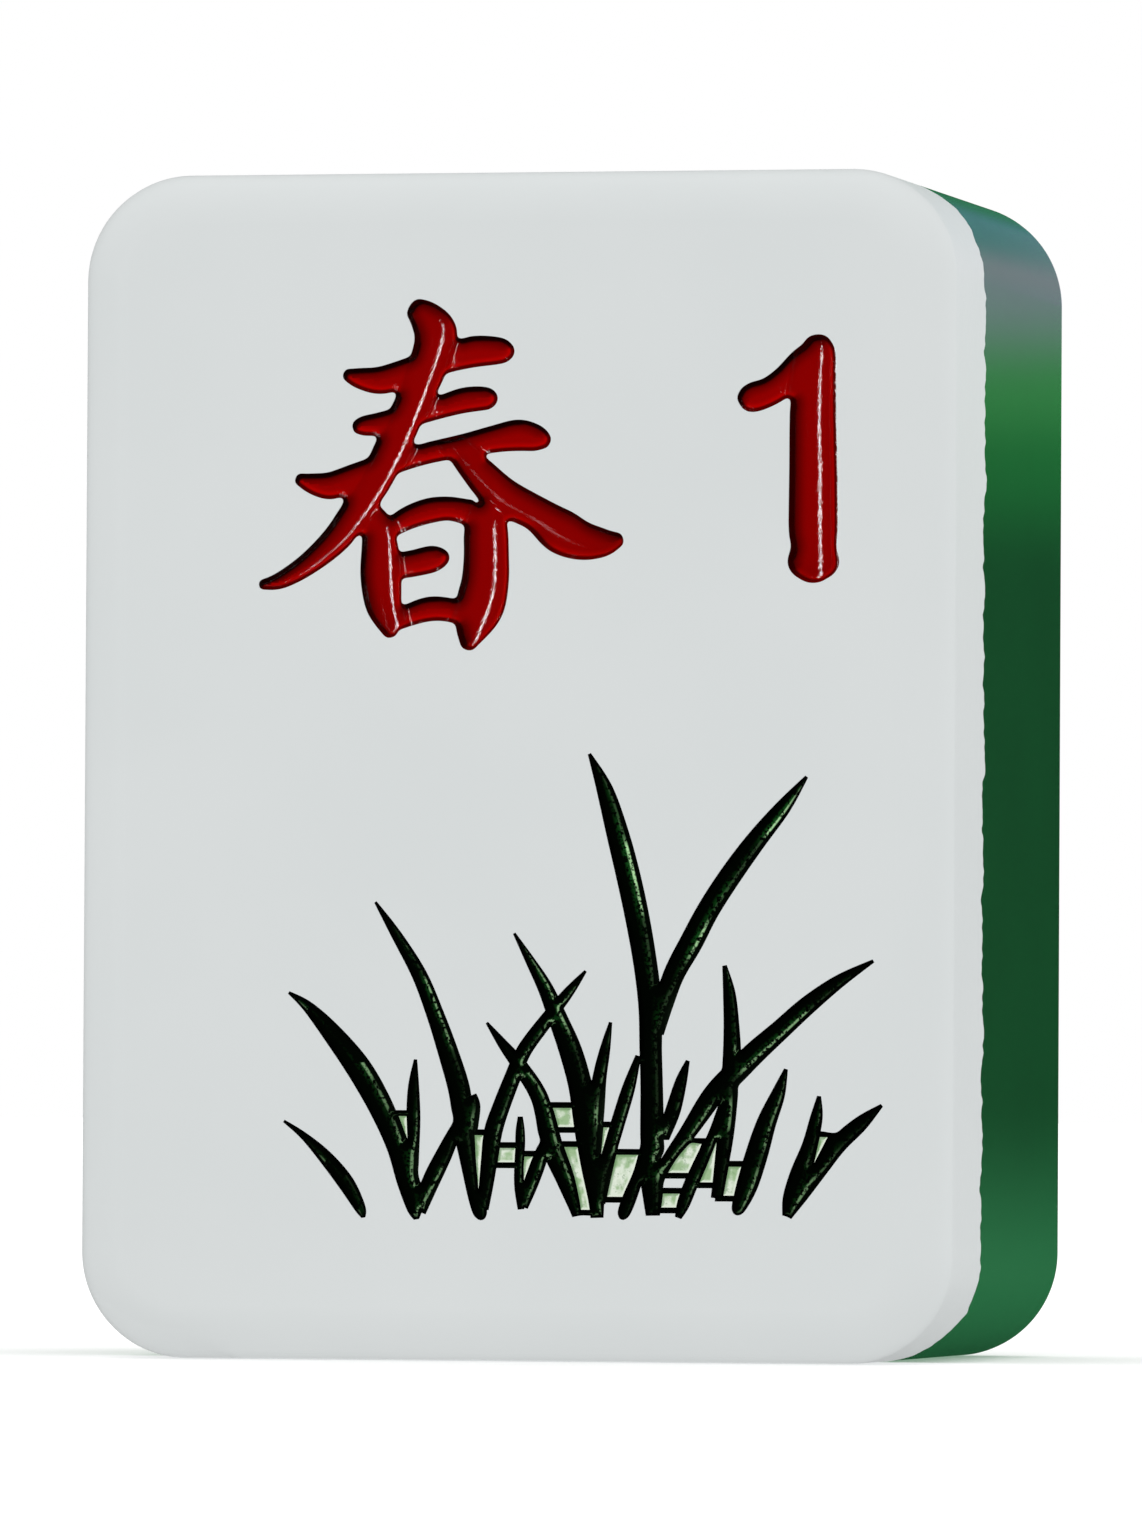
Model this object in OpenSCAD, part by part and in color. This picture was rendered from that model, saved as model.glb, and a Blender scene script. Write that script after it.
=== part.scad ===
// A game tile that stands on its short end, face forward along -Y.
// A white face block and a green back block are bonded into one rounded slab.
// The season mark, the numeral and the grass are grooves cut in the face and
// filled with enamel. All lengths are in millimetres.

/* [Tile] */
// Width of the tile from side to side
tile_w = 30; // [28.5:0.5:36]
// Height of the tile from end to end
tile_h = 40; // [38.5:0.5:48]
// Thickness of the tile from face to back
tile_d = 22; // [18:0.5:26]
// Radius of the four corners, seen from the face
corner_r = 3.6; // [2.6:0.1:5]
// Radius of the rounded edge around the face and around the back
edge_r = 1.8; // [1:0.1:2]

/* [Layers] */
// Thickness of the white face block
face_block_d = 6.5; // [4:0.25:10]
// Thickness of the glue film between the two blocks
bond_film_d = 0.1; // [0.05:0.05:0.3]
// How far the glue film stops short of the tile's sides
bond_film_inset = 0.1; // [0.05:0.05:0.5]

/* [Season mark] */
// Width of the season mark
season_w = 12.6; // [10:0.2:13]
// Height of the season mark
season_h = 11.9; // [10:0.1:12.8]
// Distance from the tile's left side to the season mark
season_left = 6.4; // [3:0.1:7]
// Distance from the tile's top end to the season mark
season_top = 4.3; // [3:0.1:5]
// Depth of the season mark's grooves
season_depth = 0.8; // [0.4:0.1:1.2]
// How much wider the season mark's grooves are on each side than their drawn strokes
season_spread = 0.05; // [0:0.01:0.08]

/* [Numeral] */
// Width of the numeral
numeral_w = 3.5; // [2.5:0.1:4]
// Height of the numeral
numeral_h = 8.2; // [6:0.1:10]
// Distance from the tile's right side to the numeral
numeral_right = 3.65; // [3:0.05:4.5]
// Distance from the tile's top end to the numeral
numeral_top = 5.7; // [4:0.1:7]
// Depth of the numeral's groove
numeral_depth = 0.8; // [0.4:0.1:1.2]
// How much wider the numeral's groove is on each side than its drawn strokes
numeral_spread = 0.02; // [0:0.01:0.08]

/* [Grass] */
// Height of the tallest blade of grass
grass_h = 15.7; // [13:0.1:16.4]
// Distance from the tile's left side to the first blade
grass_left = 7.35; // [4:0.05:9]
// Distance from the tile's right side to the last blade's tip
grass_right = 2.1; // [2.1:0.1:5]
// Distance from the tile's bottom end to the foot of the grass
grass_bottom = 4.7; // [3:0.1:5.2]
// Depth of the grooves that hold the dark blades
blade_depth = 0.7; // [0.5:0.1:1.2]
// How much wider each blade's groove is on each side than its drawn stroke
blade_spread = 0.03; // [0:0.01:0.05]
// Depth of the shallow pools of pale wash between the blades
wash_depth = 0.4; // [0.3:0.05:0.45]
// Width of the dark line that closes each pool where no blade does
rim_w = 0.2; // [0.12:0.02:0.24]

/* [Enamel] */
// How far the enamel lies below the face
enamel_drop = 0.1; // [0.05:0.05:0.2]
// Radius of the inner corners where grooves run together
groove_round = 0.08; // [0.04:0.02:0.12]
// Gap between a pool of pale wash and the dark enamel around it
wash_gap = 0.01; // [0.01:0.01:0.03]

/* [Hidden] */

// Segments of a full circle
$fn = 48;
// Segments of a full circle where grooves are rounded
groove_segments = 8;
// Steps from one station of a stroke to the next
curve_steps = 3;
// How far every cut runs past the face
cut_overrun = 1;

// Thickness of the green back block: what the face block and the film leave
back_block_d = tile_d - face_block_d - bond_film_d;
// Front of the tile, and the front of the film and of the back block
face_y = -tile_d / 2;
film_y = face_y + face_block_d;
back_block_y = film_y + bond_film_d;
// Width of the whole grass figure
grass_w = tile_w - grass_left - grass_right;
// Width over height of the grass figure as drawn
grass_aspect_share = 411 / 314;
// Width that the blades' thickness follows, and how much finer the spread, the
// rims and their roundings are where the figure is narrower than its drawn shape
drawn_w = grass_h * grass_aspect_share;
blade_w = min(grass_w, sqrt(grass_w * drawn_w));
squeeze = min(1, grass_w / drawn_w);
// Lower left corner of each mark, seen from the face
season_corner = [season_left - tile_w / 2, tile_h - season_top - season_h];
numeral_corner = [tile_w / 2 - numeral_right - numeral_w, tile_h - numeral_top - numeral_h];
grass_corner = [grass_left - tile_w / 2, grass_bottom];

// Strokes of the marks. Each station gives the place of the stroke's middle as
// shares of the mark's width and height, then its half width as a share of the
// mark's width, or of blade_w. A stroke runs from its tip or top to its foot.
season_stroke_shares = [
    // Long stroke that sweeps down to the left
    [[0.42, 0.972, 0.024], [0.45, 0.948, 0.041], [0.48, 0.906, 0.055], [0.479, 0.86, 0.0525],
     [0.447, 0.767, 0.048], [0.405, 0.67, 0.044], [0.357, 0.56, 0.043], [0.293, 0.44, 0.042],
     [0.224, 0.332, 0.036], [0.14, 0.252, 0.027], [0.06, 0.202, 0.019], [0.004, 0.19, 0.008]],
    // Three cross strokes, top to bottom
    [[0.234, 0.786, 0.01], [0.27, 0.774, 0.023], [0.333, 0.767, 0.033], [0.41, 0.79, 0.034],
     [0.506, 0.825, 0.035], [0.582, 0.845, 0.038], [0.644, 0.848, 0.034], [0.678, 0.846, 0.026],
     [0.696, 0.845, 0.01]],
    [[0.261, 0.634, 0.012], [0.284, 0.638, 0.022], [0.333, 0.644, 0.027], [0.41, 0.665, 0.027],
     [0.485, 0.686, 0.026], [0.554, 0.707, 0.03], [0.602, 0.713, 0.029], [0.634, 0.712, 0.024],
     [0.65, 0.71, 0.011]],
    [[0.104, 0.491, 0.01], [0.146, 0.476, 0.024], [0.2, 0.47, 0.033], [0.27, 0.495, 0.033],
     [0.374, 0.536, 0.028], [0.47, 0.562, 0.025], [0.568, 0.582, 0.028], [0.65, 0.6, 0.033],
     [0.713, 0.609, 0.038], [0.766, 0.599, 0.03], [0.793, 0.588, 0.013]],
    // Long stroke that sweeps down to the right
    [[0.535, 0.578, 0.025], [0.6, 0.507, 0.04], [0.668, 0.438, 0.047], [0.757, 0.39, 0.043],
     [0.826, 0.339, 0.056], [0.888, 0.311, 0.048], [0.95, 0.306, 0.033], [0.994, 0.316, 0.012]],
    // The lower box: left side, top, right side, middle bar and bottom bar
    [[0.31, 0.402, 0.02], [0.326, 0.358, 0.037], [0.333, 0.3, 0.046], [0.336, 0.218, 0.052],
     [0.343, 0.14, 0.047], [0.355, 0.09, 0.034], [0.366, 0.045, 0.013]],
    [[0.345, 0.335, 0.02], [0.375, 0.357, 0.024], [0.416, 0.38, 0.028], [0.47, 0.398, 0.03],
     [0.525, 0.403, 0.028], [0.582, 0.39, 0.031]],
    [[0.623, 0.418, 0.035], [0.623, 0.354, 0.055], [0.625, 0.268, 0.058], [0.622, 0.197, 0.061],
     [0.608, 0.128, 0.063], [0.588, 0.066, 0.046], [0.574, 0.008, 0.013]],
    [[0.374, 0.24, 0.031], [0.43, 0.25, 0.032], [0.478, 0.261, 0.032], [0.507, 0.264, 0.022],
     [0.521, 0.264, 0.01]],
    [[0.357, 0.08, 0.024], [0.41, 0.102, 0.026], [0.47, 0.12, 0.029], [0.526, 0.117, 0.028],
     [0.582, 0.1, 0.03]]
];
numeral_stroke_shares = [
    // Upright stem with a rounded foot
    [[0.78, 0.993, 0.1], [0.78, 0.944, 0.17], [0.755, 0.84, 0.205], [0.741, 0.7, 0.221],
     [0.746, 0.46, 0.23], [0.748, 0.223, 0.235], [0.754, 0.146, 0.218], [0.751, 0.08, 0.248],
     [0.75, 0.034, 0.2], [0.75, 0.003, 0.09]],
    // Flag that falls from the top to the left
    [[0.002, 0.752, 0.02], [0.055, 0.752, 0.1], [0.15, 0.753, 0.138], [0.311, 0.775, 0.134],
     [0.478, 0.822, 0.14], [0.64, 0.89, 0.145], [0.77, 0.944, 0.12]]
];
lone_blade_shares = [
    [[0.002, 0.212, 0.001], [0.036, 0.18, 0.005], [0.073, 0.134, 0.0105], [0.108, 0.079, 0.0125],
     [0.132, 0.025, 0.008], [0.137, 0.006, 0.002]]
];
tuft_blade_shares = [
    // Low blade that leans left, the short spur beside it and the stem behind them
    [[0.009, 0.487, 0.001], [0.041, 0.457, 0.008], [0.081, 0.402, 0.015], [0.128, 0.325, 0.02],
     [0.166, 0.241, 0.0195], [0.1935, 0.16, 0.0175], [0.212, 0.085, 0.018], [0.223, 0.025, 0.0115],
     [0.226, 0.003, 0.003]],
    [[0.223, 0.345, 0.0015], [0.22, 0.288, 0.008], [0.22, 0.22, 0.0105], [0.221, 0.153, 0.008],
     [0.221, 0.072, 0.006]],
    [[0.295, 0.207, 0.008], [0.273, 0.146, 0.0125], [0.248, 0.079, 0.0135], [0.232, 0.018, 0.0085]],
    // High blade that leans left, and its spur
    [[0.154, 0.681, 0.001], [0.189, 0.612, 0.0075], [0.228, 0.527, 0.0115], [0.255, 0.443, 0.0135],
     [0.279, 0.355, 0.016], [0.2975, 0.274, 0.0172], [0.3055, 0.187, 0.0155], [0.313, 0.119, 0.0115],
     [0.324, 0.052, 0.0105], [0.333, 0.018, 0.0106], [0.336, 0.004, 0.004]],
    [[0.321, 0.271, 0.003], [0.326, 0.247, 0.005], [0.322, 0.207, 0.006]],
    // Two thin blades that cross
    [[0.507, 0.535, 0.001], [0.479, 0.49, 0.0075], [0.442, 0.43, 0.0105], [0.405, 0.365, 0.0115],
     [0.386, 0.308, 0.0125], [0.364, 0.234, 0.0135], [0.353, 0.187, 0.0143], [0.347, 0.126, 0.0127],
     [0.341, 0.072, 0.0116], [0.337, 0.025, 0.0085]],
    [[0.342, 0.424, 0.001], [0.371, 0.375, 0.0075], [0.4, 0.328, 0.0115], [0.432, 0.261, 0.0135],
     [0.452, 0.163, 0.017], [0.4735, 0.095, 0.0145], [0.4895, 0.035, 0.009], [0.494, 0.012, 0.006]],
    // Short sprout with two roots
    [[0.399, 0.224, 0.003], [0.399, 0.193, 0.0065], [0.399, 0.16, 0.007], [0.397, 0.119, 0.0065],
     [0.398, 0.072, 0.007], [0.401, 0.026, 0.0042]],
    [[0.455, 0.19, 0.0095], [0.438, 0.153, 0.0105], [0.426, 0.112, 0.0116], [0.415, 0.072, 0.0106],
     [0.405, 0.03, 0.0063]],
    // Stout middle blade, and the sprout at its right
    [[0.387, 0.615, 0.001], [0.415, 0.554, 0.007], [0.44, 0.497, 0.0115], [0.462, 0.43, 0.015],
     [0.483, 0.362, 0.018], [0.499, 0.288, 0.0185], [0.508, 0.207, 0.0185], [0.518, 0.119, 0.016],
     [0.526, 0.052, 0.0125], [0.528, 0.009, 0.0095]],
    [[0.549, 0.426, 0.0015], [0.54, 0.369, 0.0075], [0.531, 0.308, 0.0105], [0.526, 0.241, 0.0125],
     [0.52, 0.166, 0.014]],
    // Tallest blade, and its partner that leans right
    [[0.511, 0.998, 0.0015], [0.537, 0.922, 0.0125], [0.559, 0.8275, 0.0175], [0.578, 0.733, 0.019],
     [0.594, 0.639, 0.019], [0.607, 0.544, 0.0185], [0.615, 0.4565, 0.0185], [0.616, 0.369, 0.0175],
     [0.618, 0.288, 0.0175], [0.619, 0.1865, 0.0185], [0.62, 0.085, 0.0175], [0.621, 0.0145, 0.0105]],
    [[0.873, 0.949, 0.0015], [0.835, 0.885, 0.0115], [0.79, 0.814, 0.0155], [0.748, 0.74, 0.0172],
     [0.711, 0.666, 0.0175], [0.682, 0.595, 0.0182], [0.655, 0.531, 0.0165], [0.6385, 0.47, 0.015],
     [0.625, 0.4025, 0.0115]],
    // Thin blades around the foot of the tallest one
    [[0.595, 0.355, 0.003], [0.58, 0.288, 0.0095], [0.564, 0.22, 0.0106], [0.549, 0.153, 0.0106],
     [0.538, 0.09, 0.0106], [0.532, 0.04, 0.0085]],
    [[0.6055, 0.16, 0.0053], [0.597, 0.106, 0.008], [0.582, 0.052, 0.0106], [0.572, 0.018, 0.009],
     [0.569, 0.006, 0.0026]],
    [[0.678, 0.345, 0.002], [0.667, 0.301, 0.0085], [0.654, 0.24, 0.0115], [0.64, 0.192, 0.0106]],
    // Upright blade, the long one that leans right and the root that runs on from it
    [[0.738, 0.5475, 0.0025], [0.746, 0.49, 0.009], [0.75, 0.423, 0.0117], [0.751, 0.355, 0.0138],
     [0.747, 0.274, 0.0135], [0.741, 0.187, 0.0127], [0.732, 0.099, 0.01], [0.727, 0.052, 0.0085]],
    [[0.985, 0.558, 0.0015], [0.929, 0.515, 0.0095], [0.877, 0.464, 0.014], [0.8305, 0.41, 0.0155],
     [0.789, 0.362, 0.0175], [0.755, 0.318, 0.018], [0.718, 0.2675, 0.0165], [0.679, 0.193, 0.0127],
     [0.652, 0.146, 0.0095], [0.633, 0.099, 0.008], [0.624, 0.052, 0.0065]],
    [[0.749, 0.3, 0.0053], [0.719, 0.187, 0.0063], [0.706, 0.146, 0.0095], [0.685, 0.085, 0.0106],
     [0.671, 0.038, 0.0095], [0.663, 0.01, 0.0042]],
    // Last blade of the tuft
    [[0.841, 0.328, 0.002], [0.828, 0.274, 0.0105], [0.809, 0.2135, 0.015], [0.793, 0.146, 0.0175],
     [0.777, 0.079, 0.0165], [0.763, 0.031, 0.0105], [0.76, 0.018, 0.004]]
];
pair_blade_shares = [
    [[0.896, 0.271, 0.002], [0.892, 0.227, 0.009], [0.881, 0.166, 0.0117], [0.865, 0.106, 0.015],
     [0.851, 0.052, 0.0135], [0.843, 0.0145, 0.006]],
    [[1, 0.252, 0.0015], [0.966, 0.214, 0.011], [0.928, 0.169, 0.0135], [0.895, 0.116, 0.0145],
     [0.866, 0.06, 0.0115], [0.846, 0.0125, 0.004]]
];

// Corners of the pools of pale wash, as shares of the grass figure's width and
// height. Their sides run under the blades, which cut each pool to its shape.
left_fork_shares = [[0.17, 0.23], [0.22, 0.23], [0.221, 0.12], [0.204, 0.12]];
left_strip_shares = [[0.316, 0.19], [0.344, 0.19], [0.339, 0.055], [0.324, 0.055]];
left_sill_shares = [[0.356, 0.163], [0.4, 0.163], [0.4, 0.12], [0.354, 0.12]];
root_sliver_shares = [[0.4, 0.145], [0.434, 0.145], [0.412, 0.07], [0.4, 0.07]];
upper_diamond_shares = [[0.442, 0.249], [0.496, 0.249], [0.5, 0.196], [0.452, 0.196]];
long_strip_shares = [[0.464, 0.166], [0.503, 0.166], [0.522, 0.02], [0.494, 0.02]];
small_notch_shares = [[0.527, 0.208], [0.566, 0.208], [0.55, 0.14], [0.53, 0.14]];
broad_band_shares = [[0.555, 0.15], [0.606, 0.15], [0.582, 0.048], [0.538, 0.048]];
narrow_notch_shares = [[0.63, 0.182], [0.668, 0.182], [0.636, 0.118]];
centre_shares = [[0.668, 0.174], [0.708, 0.174], [0.686, 0.1], [0.638, 0.1]];
foot_shares = [[0.626, 0.068], [0.675, 0.068], [0.668, 0.026], [0.626, 0.026]];
wedge_shares = [[0.716, 0.18], [0.738, 0.18], [0.726, 0.08], [0.69, 0.08]];
right_band_shares = [[0.736, 0.126], [0.782, 0.126], [0.766, 0.052], [0.729, 0.052]];
pair_fork_shares = [[0.884, 0.19], [0.918, 0.19], [0.882, 0.1], [0.862, 0.1]];
tuft_wash_shares = [
    left_fork_shares, left_strip_shares, left_sill_shares, root_sliver_shares,
    upper_diamond_shares, long_strip_shares, small_notch_shares, broad_band_shares,
    narrow_notch_shares, centre_shares, foot_shares, wedge_shares, right_band_shares
];

// Smooth curve through stations
// Value on the curve between b and c, with a and d as their neighbours
function curve_value(a, b, c, d, t) =
    b + (c - a) * t / 2 + (2 * a - 5 * b + 4 * c - d) * t * t / 2 + (3 * b - a - 3 * c + d) * t * t * t / 2;

// Stations in shares turned into lengths, with half widths as shares of stroke_w
function sized(shares, w, h, stroke_w, spread) =
    [for (s = shares) [s[0] * w, s[1] * h, s[2] * stroke_w + spread]];

// The stations with smooth steps between them
function curve(stations) =
    let (last = len(stations) - 1)
    concat(
        [for (i = [0 : last - 1]) for (k = [0 : curve_steps - 1])
            curve_value(stations[max(i - 1, 0)], stations[i], stations[i + 1],
                        stations[min(i + 2, last)], k / curve_steps)],
        [stations[last]]
    );

// The point on one side of a curve, its half width away from the middle
function side_point(line, i, side) =
    let (
        before = line[max(i - 1, 0)],
        after = line[min(i + 1, len(line) - 1)],
        run = [after[0] - before[0], after[1] - before[1]],
        reach = side * line[i][2] / norm(run)
    )
    [line[i][0] - run[1] * reach, line[i][1] + run[0] * reach];

// Outlines of the marks, drawn in the plane of the face
module stroke(shares, w, h, stroke_w, spread) {
    line = curve(sized(shares, w, h, stroke_w, spread));
    last = len(line) - 1;
    left_side = [for (i = [0 : last]) side_point(line, i, 1)];
    right_side = [for (i = [last : -1 : 0]) side_point(line, i, -1)];
    polygon(concat(left_side, right_side));
}

module strokes(all_shares, w, h, stroke_w, spread) {
    for (shares = all_shares) stroke(shares, w, h, stroke_w, spread);
}

module blades(all_shares) {
    strokes(all_shares, grass_w, grass_h, blade_w, blade_spread * squeeze);
}

module rounded_grooves() {
    offset(r = -groove_round, $fn = groove_segments)
        offset(delta = groove_round)
            children();
}

module joined_grooves() {
    offset(delta = -groove_round * squeeze)
        offset(delta = groove_round * squeeze)
            children();
}

module pool(shares) {
    polygon([for (s = shares) [s[0] * grass_w, s[1] * grass_h]]);
}

module pool_rim(shares) {
    half = rim_w * squeeze / 2;
    difference() {
        offset(delta = half) pool(shares);
        offset(delta = -half) pool(shares);
    }
}

module season_outline() {
    translate(season_corner)
        rounded_grooves()
            strokes(season_stroke_shares, season_w, season_h, season_w, season_spread);
}

module numeral_outline() {
    translate(numeral_corner)
        rounded_grooves()
            strokes(numeral_stroke_shares, numeral_w, numeral_h, numeral_w, numeral_spread);
}

module lone_blade_outline() {
    translate(grass_corner)
        joined_grooves() blades(lone_blade_shares);
}

module tuft_outline() {
    translate(grass_corner)
        joined_grooves() {
            blades(tuft_blade_shares);
            for (shares = tuft_wash_shares) pool_rim(shares);
        }
}

module pair_outline() {
    translate(grass_corner)
        joined_grooves() {
            blades(pair_blade_shares);
            pool_rim(pair_fork_shares);
        }
}

module placed_pool(shares) {
    translate(grass_corner) pool(shares);
}

// What the blades leave of a pool, drawn in slightly all round
module wash_outline(shares) {
    half = groove_round * squeeze / 2;
    intersection() {
        placed_pool(shares);
        offset(delta = half)
            offset(delta = -half - wash_gap * squeeze)
                difference() {
                    placed_pool(shares);
                    tuft_outline();
                    pair_outline();
                }
    }
}

// Solids of the marks: a pocket that opens at the face, and its filling
module pocket(depth) {
    translate([0, face_y + depth, 0])
        rotate([90, 0, 0])
            linear_extrude(depth + cut_overrun) children();
}

module filling(depth) {
    translate([0, face_y + depth, 0])
        rotate([90, 0, 0])
            linear_extrude(depth - enamel_drop) children();
}

// A block of the tile, flat at the bottom and with a rounded edge on top
module edge_profile(depth) {
    square([corner_r - edge_r, depth]);
    square([corner_r, depth - edge_r]);
    translate([corner_r - edge_r, depth - edge_r]) circle(edge_r);
}

module edge_run(length, reach, depth) {
    translate([reach, length / 2, 0])
        rotate([90, 0, 0])
            linear_extrude(length) edge_profile(depth);
}

module rounded_block(depth) {
    core_w = tile_w - 2 * corner_r;
    core_h = tile_h - 2 * corner_r;
    translate([-core_w / 2, -core_h / 2, 0]) cube([core_w, core_h, depth]);
    for (turn = [0, 180]) {
        rotate([0, 0, turn]) edge_run(core_h, core_w / 2, depth);
        rotate([0, 0, turn + 90]) edge_run(core_w, core_h / 2, depth);
        rotate([0, 0, turn])
            translate([core_w / 2, core_h / 2, 0])
                rotate_extrude(angle = 90) edge_profile(depth);
        rotate([0, 0, turn])
            translate([-core_w / 2, core_h / 2, 0])
                rotate([0, 0, 90])
                    rotate_extrude(angle = 90) edge_profile(depth);
    }
}

module film_outline() {
    core_w = tile_w - 2 * corner_r;
    core_h = tile_h - 2 * corner_r;
    film_w = tile_w - 2 * bond_film_inset;
    film_h = tile_h - 2 * bond_film_inset;
    square([film_w, core_h], center = true);
    square([core_w, film_h], center = true);
    for (x = [-core_w / 2, core_w / 2]) {
        for (y = [-core_h / 2, core_h / 2]) {
            translate([x, y]) circle(corner_r - bond_film_inset);
        }
    }
}

// Sub-parts
module face_block() {
    color("#d9dddd")
        difference() {
            translate([0, film_y, tile_h / 2])
                rotate([90, 0, 0]) rounded_block(face_block_d);
            pocket(season_depth) season_outline();
            pocket(numeral_depth) numeral_outline();
            pocket(blade_depth) lone_blade_outline();
            pocket(blade_depth) tuft_outline();
            pocket(blade_depth) pair_outline();
            for (shares = tuft_wash_shares) pocket(wash_depth) placed_pool(shares);
            pocket(wash_depth) placed_pool(pair_fork_shares);
        }
}

module back_block() {
    color("#18502a")
        translate([0, back_block_y, tile_h / 2])
            rotate([-90, 0, 0]) rounded_block(back_block_d);
}

module bond_film() {
    color("#e8ead8")
        translate([0, back_block_y, tile_h / 2])
            rotate([90, 0, 0])
                linear_extrude(bond_film_d) film_outline();
}

module season_enamel() {
    color("#8b0000") filling(season_depth) season_outline();
}

module numeral_enamel() {
    color("#8b0000") filling(numeral_depth) numeral_outline();
}

module lone_blade_enamel() {
    color("#0c2a14") filling(blade_depth) lone_blade_outline();
}

module tuft_enamel() {
    color("#0c2a14") filling(blade_depth) tuft_outline();
}

module pair_enamel() {
    color("#0c2a14") filling(blade_depth) pair_outline();
}

module wash(shares) {
    color("#b5cca5") filling(wash_depth) wash_outline(shares);
}

face_block();
back_block();
bond_film();
season_enamel();
numeral_enamel();
lone_blade_enamel();
tuft_enamel();
pair_enamel();
wash(left_fork_shares);  // wash_left_fork
wash(left_strip_shares);  // wash_left_strip
wash(left_sill_shares);  // wash_left_sill
wash(root_sliver_shares);  // wash_root_sliver
wash(upper_diamond_shares);  // wash_upper_diamond
wash(long_strip_shares);  // wash_long_strip
wash(small_notch_shares);  // wash_small_notch
wash(broad_band_shares);  // wash_broad_band
wash(narrow_notch_shares);  // wash_narrow_notch
wash(centre_shares);  // wash_centre
wash(foot_shares);  // wash_foot
wash(wedge_shares);  // wash_wedge
wash(right_band_shares);  // wash_right_band
wash(pair_fork_shares);  // wash_pair_fork
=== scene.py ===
"""Looks of a game tile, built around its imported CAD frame.

The tile stands on its short end with its face along -Y. Lengths are in
millimetres until a mesh, lamp or camera is made, which turns them to metres.
"""

import logging
import math
from dataclasses import dataclass, field, replace
from enum import Enum
from typing import Any

import bpy
import numpy as np
from mathutils import Matrix, Vector
from mathutils.geometry import delaunay_2d_cdt


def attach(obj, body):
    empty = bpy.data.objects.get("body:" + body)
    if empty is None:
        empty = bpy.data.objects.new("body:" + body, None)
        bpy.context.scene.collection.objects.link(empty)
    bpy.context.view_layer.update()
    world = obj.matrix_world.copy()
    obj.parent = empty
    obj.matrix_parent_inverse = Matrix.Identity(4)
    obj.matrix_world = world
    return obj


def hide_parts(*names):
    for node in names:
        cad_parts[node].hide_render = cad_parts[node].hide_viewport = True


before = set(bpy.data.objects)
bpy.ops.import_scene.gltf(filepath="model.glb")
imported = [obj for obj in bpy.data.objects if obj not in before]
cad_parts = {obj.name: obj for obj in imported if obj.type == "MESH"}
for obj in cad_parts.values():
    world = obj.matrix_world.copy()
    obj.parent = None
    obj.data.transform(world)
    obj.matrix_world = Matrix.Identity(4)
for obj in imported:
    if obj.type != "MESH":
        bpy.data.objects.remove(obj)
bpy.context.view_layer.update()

MM = 0.001
FORWARD = np.array([0.0, -1.0, 0.0])
BACKWARD = np.array([0.0, 1.0, 0.0])
# Stands in for a length or an area of nothing in a division.
TINY = 1e-9
log = logging.getLogger("tile")


class CardKind(Enum):
    """What a studio card does to the reflections."""

    FLAG = "flag"
    GLOW = "glow"


# Colour and nodes


def linear(code: str) -> tuple[float, float, float, float]:
    """Turns an sRGB hex colour to a linear one.

    Args:
        code: six hex digits after a hash sign.

    Returns:
        Linear red, green and blue, and an alpha of one.
    """
    shares = [int(code[i:i + 2], 16) / 255 for i in (1, 3, 5)]
    return (*[s / 12.92 if s <= 0.04045 else ((s + 0.055) / 1.055) ** 2.4 for s in shares], 1.0)


def add_node(
    tree: bpy.types.NodeTree,
    kind: str,
    settings: dict[str, Any] | None = None,
    inputs: dict[Any, Any] | None = None,
) -> bpy.types.Node:
    """Adds a node with its settings, and sets or links its inputs.

    Args:
        tree: the node tree to add to.
        kind: the node's class name.
        settings: attribute names and values.
        inputs: socket names or numbers, with a value or another node's output.

    Returns:
        The new node.
    """
    node = tree.nodes.new(kind)
    for name, value in (settings or {}).items():
        setattr(node, name, value)
    for key, value in (inputs or {}).items():
        if isinstance(value, bpy.types.NodeSocket):
            tree.links.new(value, node.inputs[key])
        else:
            node.inputs[key].default_value = value
    return node


def new_material(name: str) -> tuple[bpy.types.Material, bpy.types.NodeTree]:
    """Makes an empty node material.

    Args:
        name: the material's name.

    Returns:
        The material and its node tree.
    """
    material = bpy.data.materials.new(name)
    material.use_nodes = True
    material.node_tree.nodes.clear()
    return material, material.node_tree


# Outlines in the face plane


def welded(node: str) -> tuple[np.ndarray, np.ndarray]:
    """Reads a CAD node's mesh and joins the vertices that lie on each other.

    Args:
        node: the node's name.

    Returns:
        Its points in millimetres and its triangles.
    """
    grain = 1e-4
    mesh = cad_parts[node].data
    points = np.empty(len(mesh.vertices) * 3, np.float32)
    mesh.vertices.foreach_get("co", points)
    points = points.reshape(-1, 3).astype(float) / MM
    mesh.calc_loop_triangles()
    triangles = np.empty(len(mesh.loop_triangles) * 3, np.int32)
    mesh.loop_triangles.foreach_get("vertices", triangles)
    keys = np.round(points / grain).astype(np.int64)
    _, first, weld = np.unique(keys, axis=0, return_index=True, return_inverse=True)
    return points[first], weld.reshape(-1)[triangles].reshape(-1, 3)


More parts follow.
